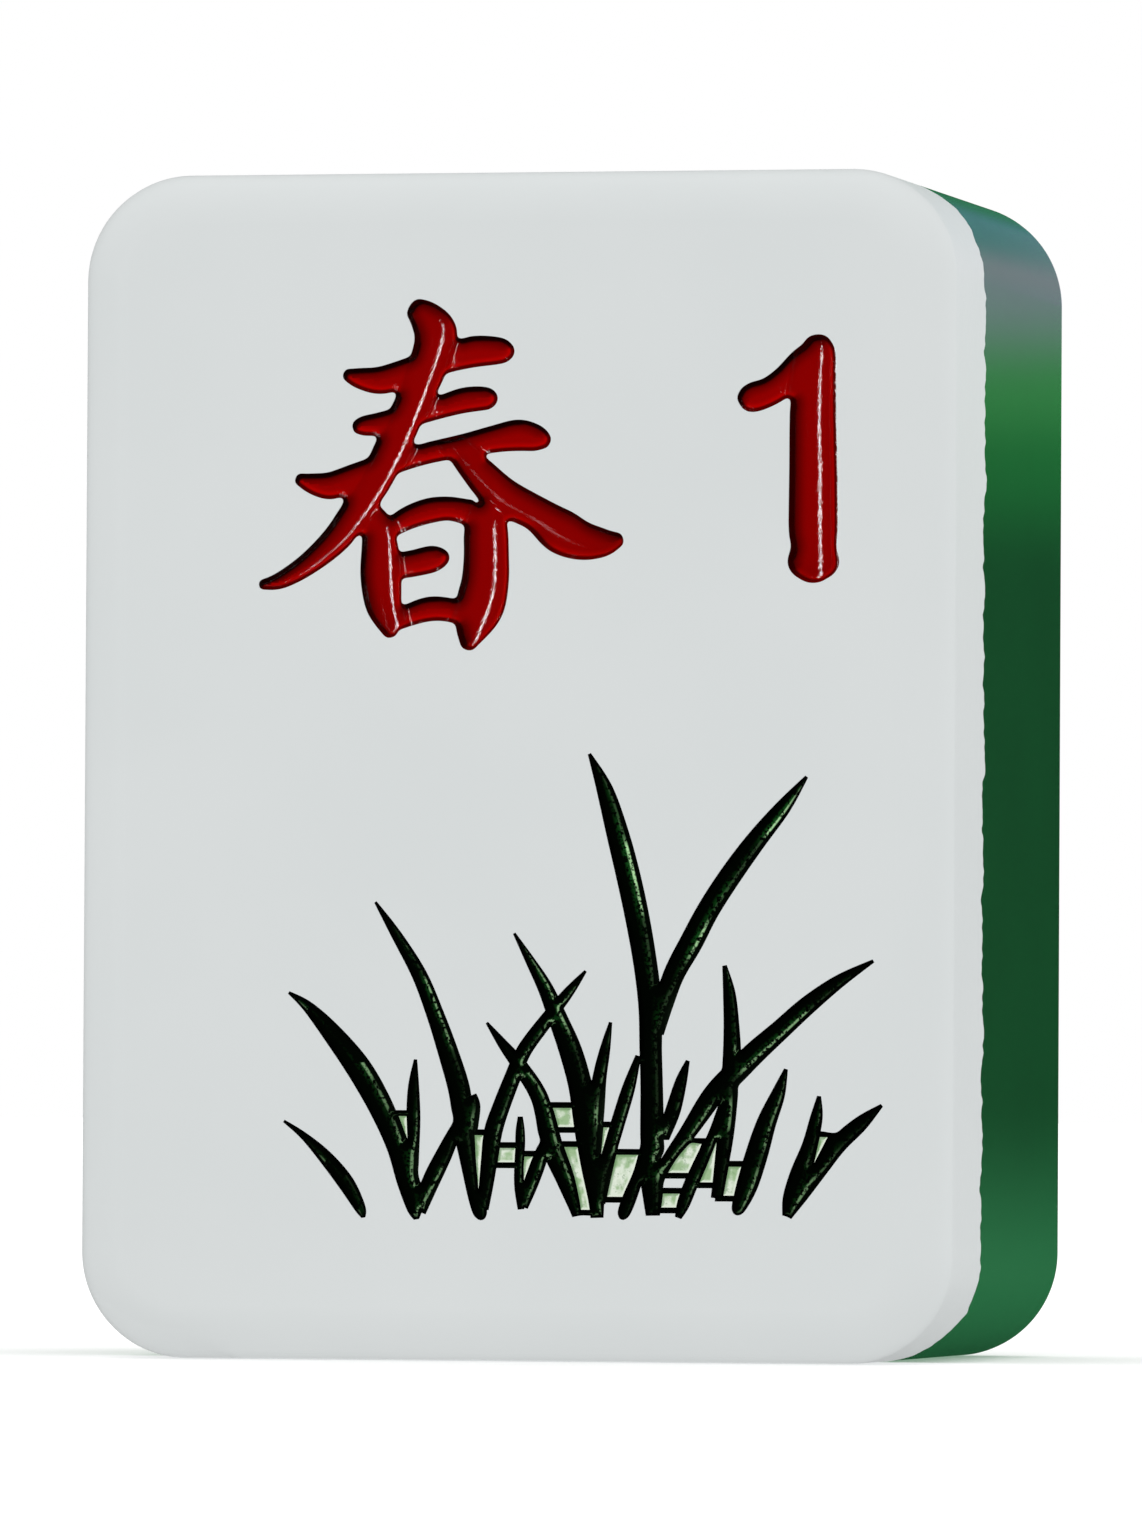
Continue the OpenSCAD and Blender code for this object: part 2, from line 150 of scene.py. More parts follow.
def front_loops(node: str) -> list[np.ndarray]:
    """Finds the outline of a node's front face.

    Args:
        node: the node's name.

    Returns:
        Its loops as x and z, outer ones anticlockwise seen from the face.
    """
    flat = 1e-3
    points, triangles = welded(node)
    front = points[:, 1].min()
    cap = triangles[(points[triangles][:, :, 1] < front + flat).all(1)]
    sides = {(int(t[i]), int(t[(i + 1) % 3])) for t in cap for i in range(3)}
    onward: dict[int, list[int]] = {}
    for start, end in sorted(sides):
        if (end, start) not in sides:
            onward.setdefault(start, []).append(end)
    loops = []
    while onward:
        start = next(iter(onward))
        chain, here = [], start
        while here in onward:
            chain.append(here)
            ends = onward[here]
            here = ends.pop()
            if not ends:
                del onward[chain[-1]]
            if here == start:
                break
        if len(chain) > 2:
            loops.append(points[chain][:, [0, 2]])
    return loops


def loop_area(loop: np.ndarray) -> float:
    """Signed area of a loop, positive when it runs anticlockwise."""
    onward = np.roll(loop, -1, 0)
    return float((loop[:, 0] * onward[:, 1] - loop[:, 1] * onward[:, 0]).sum() / 2)


def curved(points: np.ndarray, step: float) -> np.ndarray:
    """Draws a smooth curve through points and samples it evenly.

    Args:
        points: the points of an open line.
        step: the distance between samples.

    Returns:
        The samples without the last point.
    """
    runs = np.linalg.norm(np.diff(points, axis=0), axis=1)
    along = np.concatenate([[0], np.cumsum(runs)])
    count = max(1, round(along[-1] / step))
    if len(points) < 3:
        shares = np.arange(count)[:, None] / count
        return points[0] * (1 - shares) + points[-1] * shares
    slopes = np.gradient(points, along, axis=0)
    wanted = np.arange(count) * along[-1] / count
    i = np.clip(np.searchsorted(along, wanted, "right") - 1, 0, len(runs) - 1)
    h = runs[i][:, None]
    t = ((wanted - along[i]) / runs[i])[:, None]
    # The cubic curve through both ends of a run, with their slopes.
    return (
        (2 * t**3 - 3 * t**2 + 1) * points[i]
        + (t**3 - 2 * t**2 + t) * h * slopes[i]
        + (3 * t**2 - 2 * t**3) * points[i + 1]
        + (t**3 - t**2) * h * slopes[i + 1]
    )


def softened(loop: np.ndarray, step: float, corner: float, rounds: int) -> np.ndarray:
    """Smooths a loop's facets and keeps its sharp tips and notches.

    Args:
        loop: the loop's corners.
        step: the distance between the new points.
        corner: the turn in degrees from which a corner stays sharp.
        rounds: how often each free point moves towards its neighbours.

    Returns:
        The new loop.
    """
    least = step / 50
    run = np.roll(loop, -1, 0) - loop
    loop = loop[np.linalg.norm(run, axis=1) > least]
    run = np.roll(loop, -1, 0) - loop
    heading = np.arctan2(run[:, 1], run[:, 0])
    turn = np.degrees((heading - np.roll(heading, 1) + np.pi) % (2 * np.pi) - np.pi)
    sharp = np.flatnonzero(np.abs(turn) > corner)
    if len(sharp) == 0:
        margin = 3
        wrapped = np.concatenate([loop[-margin:], loop, loop[:margin + 1]])
        runs = np.linalg.norm(np.diff(wrapped, axis=0), axis=1)
        before = round(runs[:margin].sum() / step)
        after = round(runs[-margin:].sum() / step)
        line = curved(wrapped, step)
        line = line[before:len(line) - after]
        fixed = np.zeros(len(line), bool)
    else:
        loop = np.roll(loop, -sharp[0], 0)
        ends = [*(sharp - sharp[0]), len(loop)]
        closed = np.concatenate([loop, loop[:1]])
        parts = [curved(closed[a:b + 1], step) for a, b in zip(ends[:-1], ends[1:])]
        line = np.concatenate(parts)
        fixed = np.zeros(len(line), bool)
        fixed[np.cumsum([0] + [len(p) for p in parts[:-1]])] = True
    for _ in range(rounds):
        middle = (np.roll(line, 1, 0) + np.roll(line, -1, 0)) / 2
        line = np.where(fixed[:, None], line, (line + middle) / 2)
    return line


def batches(count: int, weight: int) -> list[np.ndarray]:
    """Splits a row of indexes so that each batch stays small in memory."""
    cells = 4_000_000
    return np.array_split(np.arange(count), count * weight // cells + 1)


def is_inside(points: np.ndarray, loops: list[np.ndarray]) -> np.ndarray:
    """Tells which points lie inside a set of loops, by the even-odd rule.

    Args:
        points: x and z of each point.
        loops: the loops.

    Returns:
        True for each point inside.
    """
    a = np.concatenate(loops)
    b = np.concatenate([np.roll(loop, -1, 0) for loop in loops])
    rise = np.where(b[:, 1] == a[:, 1], 1, b[:, 1] - a[:, 1])
    inside = np.zeros(len(points), bool)
    for batch in batches(len(points), len(a)):
        x, z = points[batch, :1], points[batch, 1:]
        crosses = (a[:, 1] > z) != (b[:, 1] > z)
        meets = a[:, 0] + (b[:, 0] - a[:, 0]) * (z - a[:, 1]) / rise
        inside[batch] = (crosses & (x < meets)).sum(1) % 2 == 1
    return inside


def from_edge(points: np.ndarray, loops: list[np.ndarray]) -> tuple[np.ndarray, np.ndarray]:
    """Measures each point's distance from the loops.

    Args:
        points: x and z of each point.
        loops: the loops.

    Returns:
        The distances, and the unit vectors from the nearest edge to each point.
    """
    a = np.concatenate(loops)
    run = np.concatenate([np.roll(loop, -1, 0) for loop in loops]) - a
    square = np.maximum((run**2).sum(1), TINY)
    distance = np.zeros(len(points))
    away = np.zeros((len(points), 2))
    for batch in batches(len(points), len(a) * 2):
        p = points[batch][:, None]
        share = np.clip(((p - a) * run).sum(2) / square, 0, 1)[..., None]
        gap = p - a - share * run
        length = (gap**2).sum(2)
        best = length.argmin(1)
        row = np.arange(len(batch))
        distance[batch] = np.sqrt(length[row, best])
        away[batch] = gap[row, best]
    return distance, away / np.maximum(distance, TINY)[:, None]


def cut_depth(points: np.ndarray, line: np.ndarray, roundness: float) -> np.ndarray:
    """Depth of a groove cut along a line, with a section like part of an ellipse.

    Args:
        points: x and z of each point.
        line: x, z and half width at each place along the groove.
        roundness: the groove's depth as a share of its half width.

    Returns:
        The depth at each point, zero outside the groove.
    """
    a, run = line[:-1], np.diff(line, axis=0)
    square = np.maximum((run[:, :2] ** 2).sum(1), TINY)
    depth = np.zeros(len(points))
    for batch in batches(len(points), len(a) * 2):
        p = points[batch][:, None]
        share = np.clip(((p - a[:, :2]) * run[:, :2]).sum(2) / square, 0, 1)
        gap = p - a[:, :2] - share[..., None] * run[:, :2]
        room = (a[:, 2] + share * run[:, 2]) ** 2 - (gap**2).sum(2)
        depth[batch] = roundness * np.sqrt(np.maximum(room.max(1), 0))
    return depth


def inward(loop: np.ndarray) -> np.ndarray:
    """Finds the way from a loop towards its left, which is the filled side.

    Args:
        loop: the loop's points.

    Returns:
        A unit vector at each point.
    """
    run = np.roll(loop, -1, 0) - np.roll(loop, 1, 0)
    run /= np.maximum(np.linalg.norm(run, axis=1), TINY)[:, None]
    return np.stack([-run[:, 1], run[:, 0]], 1)


@dataclass
class Patch:
    """A region of the face plane cut into triangles.

    Its first points are those of its loops, in order.
    """

    points: np.ndarray
    triangles: np.ndarray
    rims: list[np.ndarray]

    @classmethod
    def cut(cls, loops: list[np.ndarray], extra: np.ndarray | None = None) -> "Patch":
        """Cuts the region inside loops into triangles.

        Args:
            loops: the region's loops.
            extra: points to use inside it.

        Returns:
            The patch.
        """
        inside_only, same = 1, 1e-6
        edges, rims, start = [], [], 0
        for loop in loops:
            rim = np.arange(start, start + len(loop))
            rims.append(rim)
            edges += list(zip(rim.tolist(), np.roll(rim, -1).tolist()))
            start += len(loop)
        given = np.concatenate(loops + ([extra] if extra is not None else []))
        made = delaunay_2d_cdt([Vector(p) for p in given.tolist()], edges, [], inside_only, same)
        places = np.full(len(given), -1)
        for new, olds in enumerate(made[3]):
            places[olds] = new
        points = np.array([tuple(v) for v in made[0]])
        triangles = np.array([f for f in made[2] if len(f) == 3])
        middles = points[triangles].mean(1)
        triangles = triangles[is_inside(middles, loops)]
        a, b, c = (points[triangles[:, i]] for i in range(3))
        turn = (b[:, 0] - a[:, 0]) * (c[:, 1] - a[:, 1]) - (b[:, 1] - a[:, 1]) * (c[:, 0] - a[:, 0])
        triangles = np.where(turn[:, None] < 0, triangles[:, ::-1], triangles)
        used, triangles = np.unique(triangles, return_inverse=True)
        new_place = np.full(len(points), -1)
        new_place[used] = np.arange(len(used))
        return cls(
            points[used],
            triangles.reshape(-1, 3),
            [new_place[places[rim]] for rim in rims],
        )


# Meshes


@dataclass
class Shell:
    """A closed surface being put together, in millimetres."""

    points: list[np.ndarray] = field(default_factory=list)
    faces: list[tuple[int, ...]] = field(default_factory=list)
    normals: list[np.ndarray] = field(default_factory=list)
    count: int = 0

    def add_points(self, points: np.ndarray) -> np.ndarray:
        """Adds points.

        Args:
            points: x, y and z of each.

        Returns:
            Their indexes.
        """
        self.points.append(points)
        self.count += len(points)
        return np.arange(self.count - len(points), self.count)

    def add_faces(self, faces: np.ndarray, normals: np.ndarray) -> None:
        """Adds faces with a normal at each corner.

        Args:
            faces: the indexes of each face's corners.
            normals: a normal at each of those corners, or one for all.
        """
        self.faces += [tuple(f) for f in faces.tolist()]
        spread = np.broadcast_to(normals, (*faces.shape, 3)).reshape(-1, 3)
        self.normals.append(spread)

    def add_band(
        self, near: np.ndarray, far: np.ndarray, near_normals: np.ndarray, far_normals: np.ndarray
    ) -> None:
        """Joins two matching rings with a band of four-sided faces.

        Args:
            near: indexes of the ring nearer the face.
            far: indexes of the ring behind it.
            near_normals: a normal at each point of the first ring, or one for all.
            far_normals: a normal at each point of the second ring, or one for all.
        """
        quads = np.stack([near, far, np.roll(far, -1), np.roll(near, -1)], 1)
        one, two = (np.broadcast_to(n, (len(near), 3)) for n in (near_normals, far_normals))
        self.add_faces(quads, np.stack([one, two, np.roll(two, -1, 0), np.roll(one, -1, 0)], 1))

    def build(self, name: str, values: dict[str, np.ndarray] | None = None) -> bpy.types.Object:
        """Makes the object.

        Args:
            name: the piece's name.
            values: numbers to keep at its points, by name.

        Returns:
            The new object, linked to the scene.
        """
        mesh = bpy.data.meshes.new(name)
        points = np.concatenate(self.points) * MM
        mesh.from_pydata(points.tolist(), [], self.faces)
        mesh.polygons.foreach_set("use_smooth", [True] * len(mesh.polygons))
        for key, numbers in (values or {}).items():
            layer = mesh.attributes.new(key, "FLOAT", "POINT")
            layer.data.foreach_set("value", numbers.astype(np.float32))
        mesh.normals_split_custom_set(np.concatenate(self.normals).tolist())
        made = bpy.data.objects.new(name, mesh)
        bpy.context.scene.collection.objects.link(made)
        return made


def raised(points: np.ndarray, depth: float | np.ndarray) -> np.ndarray:
    """Places points of the face plane at a depth along Y.

    Args:
        points: x and z of each point.
        depth: y of all or of each.

    Returns:
        x, y and z of each point.
    """
    return np.stack([points[:, 0], np.broadcast_to(depth, len(points)), points[:, 1]], 1)


def corner_normals(points: np.ndarray, triangles: np.ndarray) -> np.ndarray:
    """Smooth normals of a surface at its points, weighted by area.

    Args:
        points: x, y and z of each point.
        triangles: the surface's triangles.

    Returns:
        A unit normal at each point.
    """
    a, b, c = (points[triangles[:, i]] for i in range(3))
    cross = np.cross(b - a, c - a)
    total = np.zeros_like(points)
    for i in range(3):
        np.add.at(total, triangles[:, i], cross)
    return total / np.maximum(np.linalg.norm(total, axis=1), TINY)[:, None]


def dress(
    piece: bpy.types.Object, material: bpy.types.Material, slot: str, *nodes: str
) -> None:
    """Gives a piece its material and its body, and hides the CAD nodes that it stands for.

    Args:
        piece: the object.
        material: its material.
        slot: not used.
        nodes: the CAD nodes that it replaces.
    """
    piece.data.materials.append(material)
    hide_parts(*nodes)
    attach(piece, "root")
    log.info("%s: %d faces, %s", piece.name, len(piece.data.polygons), material.name)


# Finishes


def speck_field(tree: bpy.types.NodeTree, size: float, detail: float) -> bpy.types.NodeSocket:
    """Adds soft noise that is fixed in the object.

    Args:
        tree: the material's tree.
        size: the size of its spots in millimetres.
        detail: how many finer layers it has.

    Returns:
        The noise's output, from zero to one.
    """
    where = add_node(tree, "ShaderNodeTexCoord")
    noise = add_node(
        tree, "ShaderNodeTexNoise", {},
        {"Vector": where.outputs["Object"], "Scale": 1 / (size * MM), "Detail": detail, "Roughness": 0.55},
    )
    return noise.outputs["Fac"]


def place_along(tree: bpy.types.NodeTree, axis: str) -> bpy.types.NodeSocket:
    """Adds the place of the shaded point along one of the object's axes, in metres.

    Args:
        tree: the material's tree.
        axis: the axis's letter.

    Returns:
        The coordinate's socket.
    """
    where = add_node(tree, "ShaderNodeTexCoord")
    axes = add_node(tree, "ShaderNodeSeparateXYZ", {}, {0: where.outputs["Object"]})
    return axes.outputs[axis]


@dataclass(frozen=True)
class Fade:
    """A share that changes smoothly with a value: start at low, and end at high."""

    value: bpy.types.NodeSocket
    low: float
    high: float
    start: float = 0.0
    end: float = 1.0

    def share(self, tree: bpy.types.NodeTree) -> bpy.types.NodeSocket:
        """Adds the fade to a tree.

        Args:
            tree: the material's tree.

        Returns:
            The share's socket.
        """
        fade = add_node(
            tree, "ShaderNodeMapRange", {"interpolation_type": "SMOOTHSTEP"},
            {
                "Value": self.value, "From Min": self.low, "From Max": self.high,
                "To Min": self.start, "To Max": self.end,
            },
        )
        return fade.outputs["Result"]


def coated(tree: bpy.types.NodeTree, under: Any, over: str, *fades: Fade) -> bpy.types.NodeSocket:
    """Lays a colour over another, as far as all its fades let it show.

    Args:
        tree: the material's tree.
        under: the colour below, or its socket.
        over: the colour on top, as a hex code.
        fades: one or more fades, whose shares are multiplied.

    Returns:
        The socket of the colour that shows.
    """
    share, *others = (fade.share(tree) for fade in fades)
    for other in others:
        both = add_node(tree, "ShaderNodeMath", {"operation": "MULTIPLY"}, {0: share, 1: other})
        share = both.outputs[0]
    mixed = add_node(
        tree, "ShaderNodeMix", {"data_type": "RGBA"}, {0: share, 6: under, 7: linear(over)}
    )
    return mixed.outputs[2]


def finish_off(
    tree: bpy.types.NodeTree,
    colour: bpy.types.NodeSocket,
    roughness: Any,
    bump: bpy.types.NodeSocket,
    relief: float,
    ior: float,
    specular: float,
    tint: str = "#ffffff",
) -> None:
    """Adds the surface shader and the material's output.

    Args:
        tree: the material's tree.
        colour: the colour's socket.
        roughness: a number or a socket.
        bump: the height of the fine relief.
        relief: how far that relief stands out in millimetres.
        ior: the material's refractive index.
        specular: the level of its mirror reflection.
        tint: the colour of that reflection.
    """
    bumped = add_node(
        tree, "ShaderNodeBump", {}, {"Height": bump, "Distance": relief * MM, "Strength": 1.0}
    )
    surface = add_node(
        tree, "ShaderNodeBsdfPrincipled", {},
        {
            "Base Color": colour, "Roughness": roughness, "IOR": ior,
            "Specular IOR Level": specular, "Specular Tint": linear(tint),
            "Normal": bumped.outputs["Normal"],
        },
    )
    add_node(tree, "ShaderNodeOutputMaterial", {}, {"Surface": surface.outputs["BSDF"]})


@dataclass(frozen=True)
class ResinFinish:
    """Cast melamine resin, cut to size and tumble polished.

    To the eye it is an even, slightly cloudy body colour under a soft shine,
    with faint tumbling marks that only show in the shine. The real marks are a
    few hundredths of a millimetre wide, and are drawn coarser so that they show.
    A colour at the bottom, where given, is painted light from the floor's bounce,
    which makes the body lighter towards the bottom. Sizes, and the heights of its
    fade, are in millimetres.
    """

    name: str
    body: str
    cloud: str
    cloud_size: float
    cloud_share: float
    roughness: float
    specular: float
    painted_floor_bounce: str | None = None
    painted_floor_bounce_fade: tuple[float, float] = (9.2, 2.0)
    ior: float = 1.5
    clouds: tuple[float, float] = (0.35, 0.7)
    mark_size: float = 0.35
    mark_relief: float = 0.0004
    marks: tuple[float, float] = (0.2, 0.8)
    rough_spread: float = 0.15

    def material(self) -> bpy.types.Material:
        """Builds the material.

        Returns:
            The material.
        """
        material, tree = new_material(self.name)
        cloud = Fade(speck_field(tree, self.cloud_size, detail=3), *self.clouds, 0, self.cloud_share)
        colour = coated(tree, linear(self.body), self.cloud, cloud)
        # Painted light: the floor's bounce, painted as a lighter colour towards the bottom.
        if self.painted_floor_bounce:
            high, low = (z * MM for z in self.painted_floor_bounce_fade)
            colour = coated(tree, colour, self.painted_floor_bounce, Fade(place_along(tree, "Z"), high, low))
        marks = speck_field(tree, self.mark_size, detail=5)
        least, most = (self.roughness * (1 + k * self.rough_spread) for k in (-1, 1))
        rough = Fade(marks, *self.marks, least, most).share(tree)
        finish_off(tree, colour, rough, marks, self.mark_relief, self.ior, self.specular)
        return material


@dataclass(frozen=True)
class PaintedHighlight:
    """A broken painted highlight along a brush stroke, on its lower right half.

    It is painted light: lighter specks where the glossy paint catches the light,
    and a brighter painted glint in its core. The real specks are finer than a
    tenth of a millimetre, and are drawn at that size so that they show. Rise,
    core and fall are places across the stroke: -1 is at its upper left edge, 0 in
    its middle and 1 at its lower right edge. Patches and specks have the levels
    of their noise where they begin and where they are whole, and patches also
    what is left of the highlight between them. Sizes and the heights of the fade
    at the blades' roots are in millimetres.
    """

    colour: str
    share: float
    glint: str
    glint_share: float
    rise: tuple[float, float] = (-0.2, 0.35)
    core: tuple[float, float] = (0.26, 0.4)
    fall: tuple[float, float] = (0.6, 0.5)
    patch_size: float = 2.2
    patches: tuple[float, float, float] = (0.38, 0.6, 0.15)
    glint_patches: tuple[float, float, float] = (0.46, 0.56, 0.06)
    speck_size: float = 0.1
    specks: tuple[float, float] = (0.42, 0.57)
    glint_specks: tuple[float, float] = (0.41, 0.53)
    root_share: float = 0.3
    root_fade: tuple[float, float] = (8.0, 18.0)

    def over(self, tree: bpy.types.NodeTree, body: Any) -> bpy.types.NodeSocket:
        """Lays the painted highlight and the painted glint in its core over the body colour.

        Args:
            tree: the material's tree.
            body: the body colour.

        Returns:
            The colour's socket.
        """
        across = add_node(tree, "ShaderNodeAttribute", {"attribute_name": "across"}).outputs["Fac"]
        patches = speck_field(tree, self.patch_size, detail=1)
        specks = speck_field(tree, self.speck_size, detail=3)
        low, high = (z * MM for z in self.root_fade)
        ends = Fade(across, *self.fall), Fade(place_along(tree, "Z"), low, high, self.root_share, 1)
        colour = coated(
            tree, body, self.colour, Fade(across, *self.rise), *ends,
            Fade(patches, *self.patches, 1), Fade(specks, *self.specks, 0, self.share),
        )
        return coated(
            tree, colour, self.glint, Fade(across, *self.core), *ends,
            Fade(patches, *self.glint_patches, 1), Fade(specks, *self.glint_specks, 0, self.glint_share),
        )


@dataclass(frozen=True)
class EnamelFinish:
    """Glossy enamel paint, brushed into a groove and left to level.

    To the eye it is deep and wet looking. Its colour carries painted shade under
    the upper and left walls and, where set, painted shade in a dark line along
    every edge, and painted light near the lower right wall.
    The ripple is the one that the brush leaves, a tenth of a millimetre wide.

    Reaches are in millimetres from the groove's edge, and a coat is whole over
    the share of its reach named full. What is named upper left or lower right
    tells which wall is near: 1 is the upper left one and -1 the lower right one.
    """

    name: str
    body: str
    shade: str
    shade_reach: float
    all_round: float
    broad_reach: float
    broad_share: float
    roughness: float
    pale_and_painted_light: str | None = None
    painted_light_reach: float = 0.0
    painted_light_share: float = 0.0
    line_reach: float = 0.0
    line_share: float = 0.0
    painted_highlight: PaintedHighlight | None = None
    specular: float = 0.5
    tint: str = "#ffffff"
    deep: tuple[float, float] | None = None
    ior: float = 1.52
    ripple_size: float = 0.14
    ripple_relief: float = 0.0012
    painted_light_full: float = 0.15
    shade_full: float = 0.2
    line_full: float = 0.5
    upper_left: tuple[float, float] = (-0.35, 0.45)
    lower_right: tuple[float, float] = (0.15, -0.55)
    most_upper_left: tuple[float, float] = (0.62, 0.8)

    def material(self) -> bpy.types.Material:
        """Builds the material from the values kept at the enamel's points.

        Returns:
            The material.
        """
        material, tree = new_material(self.name)
        edge, facing = (
            add_node(tree, "ShaderNodeAttribute", {"attribute_name": n}).outputs["Fac"]
            for n in ("edge_mm", "facing")
        )
        colour: Any = linear(self.body)
        # Painted highlight and painted glint along the dark blades.
        if self.painted_highlight:
            colour = self.painted_highlight.over(tree, colour)
        # Painted light: a brighter tone near the lower right wall, where light falls into the groove.
        if self.pale_and_painted_light:
            pale_and_painted_light = Fade(edge, self.painted_light_reach * self.painted_light_full, self.painted_light_reach, self.painted_light_share, 0)
            colour = coated(tree, colour, self.pale_and_painted_light, pale_and_painted_light, Fade(facing, *self.lower_right))
        # Painted shade: a broad and a narrow coat under the upper and left walls, the deepest one at the
        # most upper left, and a dark line along every edge.
        upper = Fade(facing, *self.upper_left, self.all_round, 1)
        shades = [
            (Fade(edge, 0, self.broad_reach, self.broad_share, 0), upper),
            (Fade(edge, self.shade_reach * self.shade_full, self.shade_reach, 1, 0), upper),
        ]
        if self.deep:
            shades.append((Fade(edge, *self.deep, 1, 0), Fade(facing, *self.most_upper_left)))
        if self.line_reach:
            low, high = self.line_reach * self.line_full, self.line_reach
            shades.append((Fade(edge, low, high, self.line_share, 0),))
        for fades in shades:
            colour = coated(tree, colour, self.shade, *fades)
        ripple = speck_field(tree, self.ripple_size, detail=2)
        finish_off(
            tree, colour, self.roughness, ripple, self.ripple_relief, self.ior, self.specular, self.tint
        )
        return material


@dataclass(frozen=True)
class WashFinish:
    """Thinned enamel that ran into shallow pools and dried unevenly.

    To the eye it is pale and mottled, with the white face showing through.
    Painted shade darkens it along its upper and left edges, and painted light
    brightens it along its lower and right edges. The grains of its pigment are
    drawn a tenth of a millimetre wide, which is coarser than the real ones, so
    that they show. Sizes and the rim's reach are in millimetres, and four numbers
    are where a coat begins, where it is whole and its shares at both.
    """

    name: str
    body: str
    pale_and_painted_light: str
    stain_and_painted_shade: str
    cloud_size: float = 0.4
    clouds: tuple[float, float] = (0.42, 0.62)
    grain_size: float = 0.1
    grain_relief: float = 0.004
    grains: tuple[float, float, float, float] = (0.5, 0.72, 0, 0.6)
    rim_reach: tuple[float, float] = (0.03, 0.11)
    lower_right: tuple[float, float, float, float] = (0.1, -0.4, 0, 0.95)
    upper_left: tuple[float, float, float, float] = (-0.1, 0.4, 0, 0.7)
    roughness: float = 0.4
    specular: float = 0.3
    ior: float = 1.5

    def material(self) -> bpy.types.Material:
        """Builds the material.

        Returns:
            The material.
        """
        material, tree = new_material(self.name)
        edge, facing = (
            add_node(tree, "ShaderNodeAttribute", {"attribute_name": n}).outputs["Fac"]
            for n in ("edge_mm", "facing")
        )
        cloud = speck_field(tree, self.cloud_size, detail=2)
        grain = speck_field(tree, self.grain_size, detail=4)
        rim = Fade(edge, *self.rim_reach, 1, 0)
        coats = [
            (self.pale_and_painted_light, Fade(cloud, *self.clouds)),
            (self.stain_and_painted_shade, Fade(grain, *self.grains)),
            # Painted light along the lower right edges, and painted shade along the upper left ones.
            (self.pale_and_painted_light, rim, Fade(facing, *self.lower_right)),
            (self.stain_and_painted_shade, rim, Fade(facing, *self.upper_left)),
        ]
        colour: Any = linear(self.body)
        for over, *fades in coats:
            colour = coated(tree, colour, over, *fades)
        finish_off(tree, colour, self.roughness, grain, self.grain_relief, self.ior, self.specular)
        return material


@dataclass(frozen=True)
class GlueFinish:
    """Clear two-part glue squeezed thin between the blocks, slightly cloudy once cured."""

    name: str
    body: str
    bubble: str
    bubble_size: float = 0.8
    bubble_relief: float = 0.002
    bubbles: tuple[float, float] = (0.5, 0.7)
    roughness: float = 0.45
    specular: float = 0.4
    ior: float = 1.5

    def material(self) -> bpy.types.Material:
        """Builds the material.

        Returns:
            The material.
        """
        material, tree = new_material(self.name)
        bubbles = speck_field(tree, self.bubble_size, detail=3)
        colour = coated(tree, linear(self.body), self.bubble, Fade(bubbles, *self.bubbles))
        finish_off(
            tree, colour, self.roughness, bubbles, self.bubble_relief, self.ior, self.specular
        )
        return material


WHITE_RESIN = ResinFinish("melamine_white_tumbled", "#d7dbdb", "#d2d7d7", 9.0, 0.35, 0.4, 0.06)
# The green resin's lighter colour at the bottom is painted light from the floor's bounce.
GREEN_RESIN = ResinFinish(
    "melamine_green_tumbled", "#1a552f", "#184e2b", 7.0, 0.4, 0.14, 0.35, painted_floor_bounce="#31804f",
)
# The red's shade colour is painted shade under the upper and left walls and along the edges, and its
# brighter red is painted light near the lower right wall.
RED_ENAMEL = EnamelFinish(
    "enamel_red_brushed", body="#900000", shade="#100000", pale_and_painted_light="#dc0300", shade_reach=0.2,
    all_round=0.0, broad_reach=0.6, broad_share=0.82, painted_light_reach=0.36, painted_light_share=0.58,
    line_reach=0.19, line_share=0.85, roughness=0.05, ripple_relief=0.0065, ripple_size=0.1,
    deep=(0.11, 0.26),
)
# The dark green's black edges are painted shade, and its green band and pale glint along each blade are a
# painted highlight.
DARK_GREEN_ENAMEL = EnamelFinish(
    "enamel_dark_green_brushed", body="#010301", shade="#000000", shade_reach=0.2, all_round=1.0,
    broad_reach=0.3, broad_share=0.3, roughness=0.2, specular=0.05, tint="#a8e0a8",
    painted_highlight=PaintedHighlight("#1a5c22", 0.85, "#b4e4a8", 1.0),
)
# The wash's paler colour is real mottling and also painted light along its lower right edges; its darker
# colour is real grain and also painted shade along its upper left edges.
PALE_WASH = WashFinish("enamel_pale_green_wash", "#9bbc8c", "#dfe9d8", "#65905b")
CURED_GLUE = GlueFinish("glue_two_part_cured", "#e8ead8", "#d5d8c4")


# The tile


@dataclass(frozen=True)
class TileSizes:
    """Sizes shared by the pieces of the tile, as in the CAD model."""

    width: float = 30.0
    height: float = 40.0
    thickness: float = 22.0
    corner_r: float = 3.6
    edge_r: float = 1.8
    face_block: float = 6.5
    film: float = 0.1

    @property
    def face_y(self) -> float:
        """Y of the face."""
        return -self.thickness / 2

    @property
    def film_y(self) -> float:
        """Y of the glue film's front."""
        return self.face_y + self.face_block


